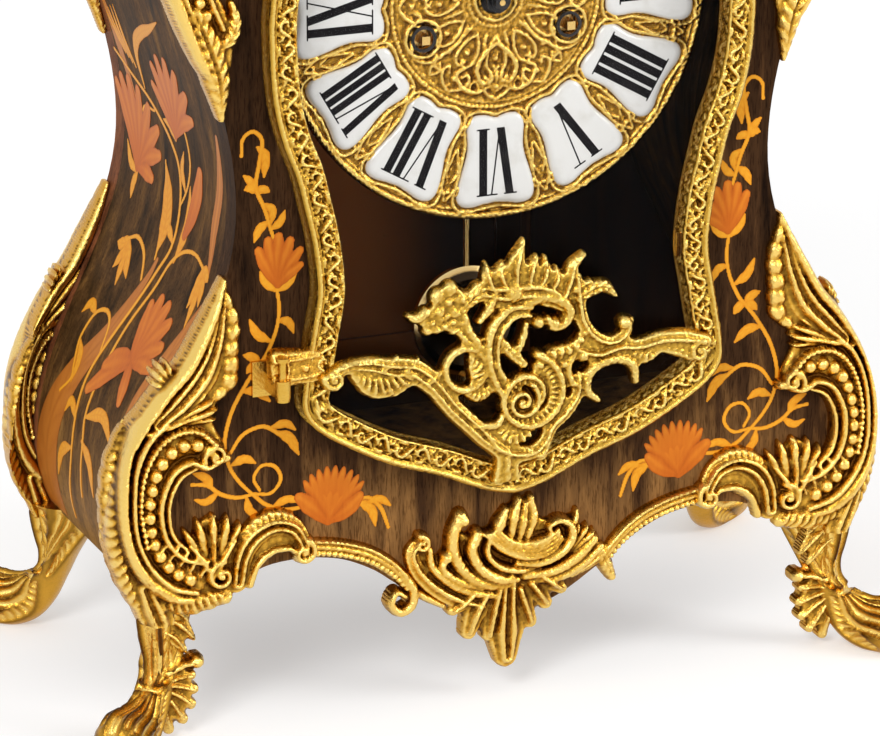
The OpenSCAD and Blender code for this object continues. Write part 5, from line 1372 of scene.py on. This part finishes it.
# ---------------------------------------------------------------- the flower inlay
class Inlay:
    """Leaves and blossoms as thin veneers, drawn like reliefs for their shading."""

    def __init__(self, x0, x1, z0, z1, step=0.38):
        self.leaves, self.blooms, self.shades = (Relief(x0, x1, z0, z1, step) for _ in range(3))

    def stem(self, points, w=1.25):
        self.leaves.stroke(points, [0.8 * w, w, w, 0.75 * w], [1.6])

    def leaf(self, points, w):
        self.leaves.stroke(points, [0.7, w, 0.85 * w, 0.4], [1.4, 2.0, 1.8, 1.0], leaf(2.6, 0.35))

    def petal(self, points, w):
        self.blooms.stroke(points, [0.45 * w, 0.9 * w, w, 0.55 * w], [0.5, 1.2, 2.4, 2.4], flutes(2, 0.22))

    def carnation(self, x, z, r, a0, a1):
        """A full blossom opening from its calyx at x, z: a scalloped fan with a smaller, deeper one in it."""
        middle = (a0 + a1) / 2
        self.blooms.shell(x, z, r, a0, a1, 9, 2.4, 0.10, 0.10)
        self.blooms.shell(x, z, 0.62 * r, middle - 0.36 * (a1 - a0), middle + 0.30 * (a1 - a0), 4, 2.35, 0.10, 0.16)

    def tuft(self, lay, root, tips, across=0.0, up=0.0, share=1.0):
        """Leaves or petals from one root, each given as the place of its tip and its width."""
        for x, z, w in tips:
            lay(bowed(root, (x, z), across, up), w * share)


def front_inlay():
    """The left half of the front; the right half is its mirror image."""
    f = Inlay(-126, -30, -186, -24)
    f.stem([(-92.5, -41), (-92, -35.5), (-88.5, -33.2), (-85.4, -36.5), (-86.4, -44), (-87.6, -52), (-84.6, -60),
            (-82.6, -67), (-81, -72)])
    f.leaf([(-87, -38.5), (-84.4, -42), (-84.8, -49)], 3.4)
    f.tuft(f.leaf, (-87.4, -53.4), ((-92, -47.5, 2.8), (-91.6, -52.4, 2.8), (-83, -54, 2.8)), 0, 0.8)
    f.leaf([(-84.8, -58), (-82, -60.4), (-82.6, -65)], 2.8)
    f.leaf([(-83.4, -64), (-86.6, -66.4), (-88.4, -70.6)], 3.0)
    f.leaf([(-82.4, -66.6), (-79.4, -64.6), (-77.8, -61)], 2.8)
    f.tuft(f.petal, (-80.4, -86), ((-87, -73.6, 3.8), (-83.6, -70.6, 4), (-80, -69.6, 4.2), (-76, -71.4, 4),
                                   (-72.6, -75, 3.6), (-72.6, -80, 3.4)), -0.4, 0.5, 1.25)
    f.leaf([(-81, -88), (-84.8, -84.6), (-86.6, -80.6)], 2.6)
    f.leaf([(-80.6, -88), (-76.6, -86), (-74, -83)], 2.4)
    f.stem([(-80.8, -87), (-80, -94), (-81, -101), (-84.4, -109), (-87.6, -113), (-92, -119), (-97, -128),
            (-99.4, -138), (-98, -146), (-94.6, -152), (-90, -157)])
    f.leaf([(-83, -105), (-87.6, -102), (-90.4, -96.6)], 3.2)
    f.leaf([(-80.4, -98), (-76.8, -99), (-75, -103)], 2.8)
    f.tuft(f.leaf, (-87, -112), ((-92.6, -108.6, 3.2), (-91.4, -114.8, 3.2), (-83, -115.4, 3.2)), 0, 0.8)
    f.leaf([(-93, -121), (-88, -121.6), (-83.4, -125.6)], 3.4)
    f.stem([(-97.6, -142), (-93, -136), (-86, -134), (-80.4, -137.4), (-77.4, -140.4)])
    f.leaf([(-81.4, -136.4), (-76.6, -139.4), (-73.6, -145.4)], 3.6)
    f.leaf([(-83, -134.6), (-78, -134), (-74.6, -136.6)], 2.8)
    f.leaf([(-97, -146), (-92.6, -144.4), (-88.6, -146.4)], 3.0)
    f.stem([(-90, -157), (-83.4, -157.4), (-80, -153), (-82, -148.4), (-86.6, -147.6), (-89.4, -151.6),
            (-87.4, -156)], 1.1)
    f.stem([(-111, -151), (-105.6, -152), (-101, -155.6), (-95, -157.6), (-90, -157)])
    f.leaf([(-104, -153.4), (-106, -149.4), (-110.6, -147)], 3.0)
    f.leaf([(-102, -155), (-106, -157.6), (-110, -156.4)], 2.6)
    f.stem([(-90, -157), (-85, -161.4), (-78, -164), (-70, -163.4)])
    f.leaf([(-92, -158), (-91, -162.4), (-87, -165.6)], 2.8)
    f.leaf([(-83, -162.4), (-77.6, -160.4), (-73, -162)], 2.8)
    f.carnation(-63.4, -171.0, 20.4, 42, 122)
    f.petal([(-63.4, -170.0), (-67.5, -165.5), (-73.4, -160.4)], 6.4)
    f.petal([(-62.6, -169.6), (-57.0, -166.6), (-52.4, -162.6)], 6.0)
    f.shades.stroke([(-58, -168.4), (-54.4, -165.6), (-50.6, -164.4)], [3, 4.4, 1.6], [1.4, 2, 1.4], leaf(3, 0.3))
    f.stem([(-53, -163.4), (-48.6, -163.8), (-44.6, -168.0), (-42, -175)])
    f.leaf([(-53, -164), (-48, -168), (-46.6, -174)], 3.4)
    f.leaf([(-50, -165.4), (-45, -164.6), (-41, -167.6)], 2.8)
    return f


def side_inlay():
    """One side, drawn with its front edge at the left and turned round at the end, so that x runs to the front."""
    f = Inlay(-58, 58, -192, 92)
    f.shades.stroke([(44, -186), (38, -158), (28, -140), (13, -121), (1, -100), (-2, -92)], [22, 20, 15, 10, 6, 2],
                    [1.2, 2, 2, 1.6, 1.4, 1], leaf(14, 0.3))
    f.shades.stroke([(-23, -154), (-31, -130), (-40.6, -112), (-51, -92)], [3, 7.6, 8, 3], [1.4, 2, 2, 1.4],
                    leaf(9, 0.3))
    f.shades.stroke([(-47, -38), (-45, -55), (-42, -70), (-45, -84)], [2, 5.4, 6, 2], [1.4, 2, 2, 1.2],
                    flutes(2, 0.4))
    f.shades.stroke([(50, -12), (45, -30), (38, -46)], [3, 6, 3], [1.6, 2, 1.4], leaf(8, 0.3))
    f.stem([(20, -187), (18, -178), (14.5, -163), (16, -143), (14, -132), (7, -118), (1, -107), (-5, -95), (-10, -85),
            (-9, -72), (-5, -60), (2, -53), (12, -47), (22, -42.5), (37, -38), (52, -33)], 1.5)
    f.stem([(4, -174), (4.5, -157), (7, -147), (6, -137), (3, -123), (-1, -112), (-8, -100), (-13, -90), (-21, -84),
            (-31, -82), (-40, -84)], 1.4)
    f.tuft(f.leaf, (-40, -84), ((-46.6, -86.6, 4.4), (-46, -95, 4.4), (-42, -103, 4.4), (-38, -97.6, 4.4)), -0.5, 0)
    f.tuft(f.petal, (35, -70), ((56, -46, 6), (50, -43, 7), (42, -42, 7.4), (33, -43.4, 7), (24, -47, 6.6),
                                (16, -52.6, 6), (14.6, -61, 5.4), (20, -70.4, 5)), 1, 1, 1.2)
    f.leaf([(34, -72), (36, -76), (35.4, -81)], 4)
    f.leaf([(35, -72), (42, -70), (47, -64)], 3.4)
    f.stem([(34.6, -71), (31, -52), (27, -47), (17, -46)], 1.1)
    f.tuft(f.petal, (-3, -49), ((14, -36, 5), (10, -28.6, 6), (2.6, -24.4, 6.4), (-6, -23.4, 6.6), (-14, -25.6, 6.4),
                                (-21, -31, 6), (-23, -39, 5)), 0.6, 1.5, 1.2)
    f.leaf([(-3, -51), (3, -47), (8.6, -46.6)], 3.2)
    f.leaf([(24.5, -40), (26.4, -30), (22, -22.6), (12, -17), (0, -12.5), (-11, -7.6)], 4.6)
    for k in range(4):
        f.leaf([(30 + 3 * k, -34 + k), (36 + 3.4 * k, -26 + k), (39 + 3.6 * k, -14 - 1.4 * k)], 2.2)
    f.stem([(0, -92), (1.5, -84), (6, -70), (8.4, -61)], 1.2)
    f.leaf([(0.6, -90), (0.4, -80), (4, -70), (8, -62)], 9)
    f.leaf([(-15.5, -89), (-18, -76), (-16.4, -63)], 5.4)
    f.petal([(-18, -79), (-21, -72), (-23.6, -64), (-25.6, -56.4)], 8.6)
    f.stem([(4.5, -100), (10, -93), (19, -90), (27, -92.5)], 1.3)
    f.tuft(f.leaf, (25, -92.6), ((34, -95.4, 4.6), (30, -103, 4.6), (22.6, -107, 4.6), (16.6, -103, 4.6)), 0, -1)
    f.stem([(12, -127), (14, -118), (20, -115), (28, -118), (32, -127), (29.5, -135), (28, -140), (34.5, -146)], 1.3)
    f.leaf([(31, -128), (26.6, -133), (27, -141)], 4.4)
    f.leaf([(28, -118), (34.6, -116.4), (39, -120.6)], 3.6)
    f.tuft(f.petal, (-14, -122), ((-11, -104.6, 6), (-17, -101.4, 6.6), (-24, -101.6, 6.6), (-30, -105.4, 6),
                                  (-31.6, -112.6, 5.4), (-30, -120, 5), (4, -129, 7), (11.6, -138.6, 5),
                                  (-17, -134.6, 5)), 0, 1, 1.3)
    f.leaf([(7, -147), (-8, -142.5), (-21, -149)], 4.6)
    f.leaf([(6, -155), (-4, -160), (-9, -170)], 4.4)
    f.leaf([(15, -160), (24, -164), (29, -174)], 4.6)
    f.leaf([(15, -150), (22, -146), (26, -150.6)], 3.6)
    f.leaf([(-10, -84), (-2, -80.6), (4, -83)], 3.4)
    f.stem([(-9, -72), (-14, -64), (-16, -54), (-12, -44), (-5, -40)], 1.2)
    f.stem([(6, 2), (2, 14), (-5, 24), (-7, 36), (-1, 48), (8, 56), (15, 66), (14, 78)], 1.3)
    f.stem([(-5, 24), (-14, 27), (-21, 34), (-22, 44)], 1.1)
    f.stem([(0, 47), (11, 42), (20, 44), (26, 51)], 1.1)
    f.tuft(f.petal, (14.4, 72), ((6, 83, 5), (10, 88, 5.6), (16, 90, 5.8), (21.6, 87, 5.4), (24.6, 81, 4.8)),
           0, 1, 1.15)
    f.tuft(f.leaf, (-22, 42), ((-28.6, 47, 4.2), (-24, 54, 4.2), (-17.6, 50.6, 4.2)), 0, 0.5)
    f.tuft(f.leaf, (25.4, 49.6), ((31.6, 50, 4.2), (31, 58, 4.2), (24.6, 59.6, 4.2)), 0, 0.2)
    for line, w in (([(3, 10), (9, 13), (13, 20)], 4), ([(-3, 21), (4, 23), (8.6, 30)], 4),
                    ([(-7, 32), (-13, 40), (-11, 50)], 4.4), ([(-1, 48), (-6, 55), (-5, 64)], 4.2),
                    ([(9, 57), (4, 64), (5, 72)], 4), ([(14, 64), (20, 64), (25, 69)], 3.8)):
        f.leaf(line, w)
    f.leaf([(-12, -66), (-8, -60), (-10, -53)], 3.4)
    for rel in (f.leaves, f.blooms, f.shades):
        rel.h = rel.h[:, ::-1]
    return f


def inlay_pieces(label, design, place):
    """One thin piece for each kind of veneer on each side, drawn for the left one."""
    for kind, rel, lift, wood in (("shades", design.shades, 0.04, "shade_inlay"),
                                  ("leaves", design.leaves, 0.09, "leaf_inlay"),
                                  ("blossoms", design.blooms, 0.12, "flower_inlay")):
        x, z, tall, tone, faces, rim = cut_out(rel, rel.hollows(1.2, 0.9))
        tone = np.clip(tone * 0.7 + 0.3 * np.clip(tall / 2, 0, 1), 0, 1)
        points, skin = closed(place(x, z, lift), place(x, z, -INLAY_DEPTH), faces, rim)
        for side in ("left", "right"):
            mesh_piece("%s_%s_%s" % (label, kind, side), *mirrored(points, skin, side == "right"), finish(wood),
                       "case", "case_wood", np.concatenate([tone, tone]))


def on_front(x, z, lift):
    """Places the front's drawing on the front board."""
    return np.stack([x, np.full_like(x, FRONT_Y - lift), z + DIAL_Z], 1)


def on_side(y, z, lift):
    """Places the side's drawing on the left side, along its curve."""
    return np.stack([-(half_width(z + DIAL_Z) + lift + 0.04), -y, z + DIAL_Z], 1)


# ---------------------------------------------------------------- the stage
def lay_floor(scene):
    """A pale floor that keeps the shadow; it glows a little where it is looked at."""
    mesh = bpy.data.meshes.new("floor")
    corners = [(-FLOOR_HALF, -FLOOR_HALF, 0), (FLOOR_HALF, -FLOOR_HALF, 0),
               (FLOOR_HALF, FLOOR_HALF, 0), (-FLOOR_HALF, FLOOR_HALF, 0)]
    mesh.from_pydata(corners, [], [(0, 1, 2, 3)])
    floor = bpy.data.objects.new("floor", mesh)
    scene.collection.objects.link(floor)
    f = Finish("pale_floor", Base_Color=(FLOOR_GREY, FLOOR_GREY, FLOOR_GREY, 1), Roughness=0.9,
               Specular_IOR_Level=0.0, Emission_Color=(1, 1, 1, 1))
    f.join(f.scaled(f.seen(), 0.0, FLOOR_GLOW), f.shader.inputs["Emission Strength"])
    mesh.materials.append(f.mat)


def light_sky(scene):
    """An even white sky, brighter where it is seen than where it lights."""
    scene.world = bpy.data.worlds.new("soft_sky")
    scene.world.use_nodes = True
    sky = Nodes(scene.world.node_tree)
    back = sky.tree.nodes["Background"]
    back.inputs["Color"].default_value = (1, 1, 1, 1)
    sky.join(sky.scaled(sky.seen(), SKY_LIGHT, SKY_SEEN), back.inputs["Strength"])


def hang_lamp(scene, name, place, size, power):
    """A square soft lamp that looks at the clock."""
    light = bpy.data.lights.new(name, "AREA")
    light.size, light.energy = size, power
    lamp = bpy.data.objects.new(name, light)
    lamp.location = place
    lamp.rotation_euler = (Vector(LAMP_AIM) - lamp.location).to_track_quat("-Z", "Y").to_euler()
    scene.collection.objects.link(lamp)


def set_camera(scene):
    """The photograph's camera: in front, to the left and above."""
    side, rise = math.radians(CAMERA_SIDE), math.radians(CAMERA_RISE)
    ahead = Vector((math.sin(side) * math.cos(rise), math.cos(side) * math.cos(rise), -math.sin(rise)))
    lens = bpy.data.cameras.new("camera")
    lens.lens, lens.sensor_width = LENS, FILM
    scene.camera = bpy.data.objects.new("camera", lens)
    scene.camera.location = Vector(CAMERA_AIM) - ahead * CAMERA_AWAY
    scene.camera.rotation_euler = ahead.to_track_quat("-Z", "Y").to_euler()
    scene.collection.objects.link(scene.camera)


# ---------------------------------------------------------------- the panel's settings and buttons
class TableClockSettings(bpy.types.PropertyGroup):
    door_relief: bpy.props.FloatProperty(name="Door relief", description="Height of the scrolls on the door frame",
                                         default=1.0 * MM, unit="LENGTH")
    inlay: bpy.props.BoolProperty(name="Flower inlay", description="Lay the leaves and blossoms into the case",
                                  default=True)
    key_light: bpy.props.FloatProperty(name="Key light", description="Power of the large soft lamp at the left",
                                       default=31.0, unit="POWER")
    fill_light: bpy.props.FloatProperty(name="Fill light", description="Power of the soft lamp at the right",
                                        default=24.0, unit="POWER")


class CLOCK_OT_stage(bpy.types.Operator):
    """Set the floor, the soft light and the camera"""

    bl_idname = "clock.stage"
    bl_label = "Stage"
    bl_options = {"REGISTER", "UNDO"}

    def execute(self, context):
        scene, settings = context.scene, context.scene.table_clock
        scene.view_settings.view_transform = "Standard"
        lay_floor(scene)
        light_sky(scene)
        hang_lamp(scene, "key", (-1.5, -1.7, 1.7), 0.9, settings.key_light)
        hang_lamp(scene, "fill", (1.8, -1.2, 1.1), 1.0, settings.fill_light)
        set_camera(scene)
        return {"FINISHED"}


class CLOCK_OT_case(bpy.types.Operator):
    """Veneer the case and lay in its flowers"""

    bl_idname = "clock.case"
    bl_label = "Case and inlay"
    bl_options = {"REGISTER", "UNDO"}

    def execute(self, context):
        carry("front_veneer", "side_veneer", "inner_wood")
        if context.scene.table_clock.inlay:
            inlay_pieces("front_inlay", front_inlay(), on_front)
            inlay_pieces("side_inlay", side_inlay(), on_side)
        return {"FINISHED"}


class CLOCK_OT_corner_mounts(bpy.types.Operator):
    """Cast the four corner mounts"""

    bl_idname = "clock.corner_mounts"
    bl_label = "Corner mounts"
    bl_options = {"REGISTER", "UNDO"}

    def execute(self, context):
        four_corners("corner_mount", cast(corner_relief(), wrapped, seated))
        return {"FINISHED"}


class CLOCK_OT_shoulder_mounts(bpy.types.Operator):
    """Cast the four shoulder mounts"""

    bl_idname = "clock.shoulder_mounts"
    bl_label = "Shoulder mounts"
    bl_options = {"REGISTER", "UNDO"}

    def execute(self, context):
        four_corners("shoulder_mount", cast(shoulder_relief(), wrapped, seated))
        return {"FINISHED"}


class CLOCK_OT_legs(bpy.types.Operator):
    """Cast the four legs"""

    bl_idname = "clock.legs"
    bl_label = "Legs"
    bl_options = {"REGISTER", "UNDO"}

    def execute(self, context):
        four_corners("leg", leg_shape())
        points, faces, tone = cast(leg_leaves_relief(), flat(FRONT_Y + 2.6, 0.8), flat(FRONT_Y + 6.4), 1.2, 0.9)
        for side in ("left", "right"):
            node = "front_%s_leg" % side
            casting(node + "_leaves", (*mirrored(points, faces, side == "right"), tone), node)
        return {"FINISHED"}


class CLOCK_OT_apron(bpy.types.Operator):
    """Cast the apron's mount and mouldings"""

    bl_idname = "clock.apron"
    bl_label = "Apron"
    bl_options = {"REGISTER", "UNDO"}

    def execute(self, context):
        for name, rel, lift in (("apron_mount", apron_relief(), MOUNT_SCALE),
                                ("apron_mouldings", band_relief(), 0.7)):
            casting(name + "_casting", cast(rel, flat(FRONT_Y - 0.7, lift), flat(FRONT_Y + 3.0)), name)
        return {"FINISHED"}


class CLOCK_OT_crest(bpy.types.Operator):
    """Cast the crest mount and the finial"""

    bl_idname = "clock.crest"
    bl_label = "Crest and finial"
    bl_options = {"REGISTER", "UNDO"}

    def execute(self, context):
        crest = cast(crest_relief(), flat(FRONT_Y - 0.9, MOUNT_SCALE), flat(FRONT_Y))
        casting("crest_mount_casting", crest, "crest_mount")
        urn = [(0.5, 0), (12.6, 0), (13, 1.6), (12.6, 3), (8.4, 5), (5.8, 8.4), (5.6, 11), (8, 13.6), (13, 17),
               (18.6, 21.6), (21, 27), (20, 32), (17, 36.6), (12.4, 39.4), (10.6, 41), (12, 43), (16.6, 44.6),
               (17, 46.4), (16, URN_H), (9, URN_H), (0.5, URN_H)]
        flame = [(0.5, 0), (8.6, 0), (11, 2.4), (13.6, 7), (15, 12), (14.2, 19), (11.6, 26), (8.6, 31), (6, 35),
                 (3.4, 39.6), (1.6, 43), (0.5, 45)]
        for name, shape in (("finial_plinth", plinth_shape()),
                            ("finial_vase", turned(urn, 192, urn_wave, URN_Z)),
                            ("finial_flame", turned(flame, 180, flame_wave, URN_Z + URN_H))):
            casting(name + "_casting", shape, name, sharp=60)
        return {"FINISHED"}


class CLOCK_OT_door(bpy.types.Operator):
    """Chase the door frame and cast its ornament"""

    bl_idname = "clock.door"
    bl_label = "Front door"
    bl_options = {"REGISTER", "UNDO"}

    def execute(self, context):
        lift = context.scene.table_clock.door_relief / MM
        line = sight_line()
        front, length = along_line(line, lambda h: DOOR_BACK - DOOR_DEPTH - lift * h)
        back, length = along_line(line, lambda h: DOOR_BACK + 0 * h)
        casting("door_frame_chased", cast(frame_relief(length), front, back, 0.9, 1.0, 0.75, 0.05), "door_frame",
                "door_gilding", "front_door", sharp=70)
        casting("door_ornament_casting",
                cast(ornament_relief(), flat(ORNAMENT_FRONT, 1.0), flat(ORNAMENT_BACK), 1.0, 0.8),
                "door_ornament", "door_gilding", "front_door")
        for name, low, high in (("lower", -118.5, -106.0), ("upper", 30.0, 40.5)):
            lug = cast(lug_relief(low, high), flat(LUG_FRONT, 1.0), flat(LUG_BACK), 1.0, 0.9)
            casting("door_lug_" + name, lug, "door_frame", body="front_door", sharp=70)
        carry("glass", "plain_gilding")
        return {"FINISHED"}


class CLOCK_OT_dial(bpy.types.Operator):
    """Emboss the dial and fire its enamel plates"""

    bl_idname = "clock.dial"
    bl_label = "Dial and hands"
    bl_options = {"REGISTER", "UNDO"}

    def execute(self, context):
        casting("dial_plate_embossed", cast(dial_relief(), flat(DIAL_Y + 0.2, 0.9), flat(DIAL_Y + 1.5), 0.9, 0.45),
                "dial_plate", "dial_gilding", slot="gilt_dial")
        plate = Relief(-17, 17, 36, 73, 0.35)
        plate.plate(PLATE_LINE, 1.5, 2.6)
        enamel = cut_out(plate, np.zeros(plate.h.shape))
        for hour, text in enumerate(HOURS, 1):
            ink = numeral_relief(text)
            ink = cut_out(ink, np.zeros(ink.h.shape))
            at_its_hour("enamel_plate", hour, enamel, enamel[2] + 0.3, -0.3, "enamel", "enamel")
            at_its_hour("numeral", hour, ink, domed(plate, ink[0], ink[1]) + 0.36, 0.1, "numeral_black",
                        "black_steel")
        carry("black_steel")
        return {"FINISHED"}


class CLOCK_OT_movement(bpy.types.Operator):
    """Finish the movement, the pendulum, the bell and the back door"""

    bl_idname = "clock.movement"
    bl_label = "Movement and back door"
    bl_options = {"REGISTER", "UNDO"}

    def execute(self, context):
        carry("brass", "steel", "bob_brass", "bell_metal")
        low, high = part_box("sound_grille")
        left, right, foot, head = low.x / MM, high.x / MM, low.z / MM - DIAL_Z, high.z / MM - DIAL_Z
        lining = Relief(left, right, foot, head, 1.2)
        wide, top = right - 0.6, head - 0.6
        arch = [(wide * math.cos(a), top - wide + wide * math.sin(a)) for a in map(math.radians, range(0, 181, 12))]
        lining.plate(arch + [(-wide, foot + 0.6), (wide, foot + 0.6)], 0.4, 0.5)
        back = low.y / MM - 0.15
        p, f, tone = cast(lining, flat(back - 0.3, 0.1), flat(back))
        mesh_piece("grille_lining", p, f, finish("dark_felt"), "back_door", "inner_wood", tone)
        return {"FINISHED"}


class CLOCK_PT_panel(bpy.types.Panel):
    """Buttons for the clock's pieces"""

    bl_idname = "CLOCK_PT_panel"
    bl_label = "Carved table clock"
    bl_space_type = "VIEW_3D"
    bl_region_type = "UI"
    bl_category = "Clock"

    def draw(self, context):
        for setting in ("door_relief", "inlay", "key_light", "fill_light"):
            self.layout.prop(context.scene.table_clock, setting)
        for step in STEPS:
            self.layout.operator(step.bl_idname)


STEPS = (CLOCK_OT_stage, CLOCK_OT_case, CLOCK_OT_corner_mounts, CLOCK_OT_shoulder_mounts, CLOCK_OT_legs,
         CLOCK_OT_apron, CLOCK_OT_crest, CLOCK_OT_door, CLOCK_OT_dial, CLOCK_OT_movement)


def register():
    for kind in (TableClockSettings, *STEPS, CLOCK_PT_panel):
        bpy.utils.register_class(kind)
    bpy.types.Scene.table_clock = bpy.props.PointerProperty(type=TableClockSettings)


def unregister():
    del bpy.types.Scene.table_clock
    for kind in (CLOCK_PT_panel, *reversed(STEPS), TableClockSettings):
        bpy.utils.unregister_class(kind)


def main():
    register()
    for step in STEPS:
        group, name = step.bl_idname.split(".")
        getattr(getattr(bpy.ops, group), name)()


if __name__ == "__main__":
    main()
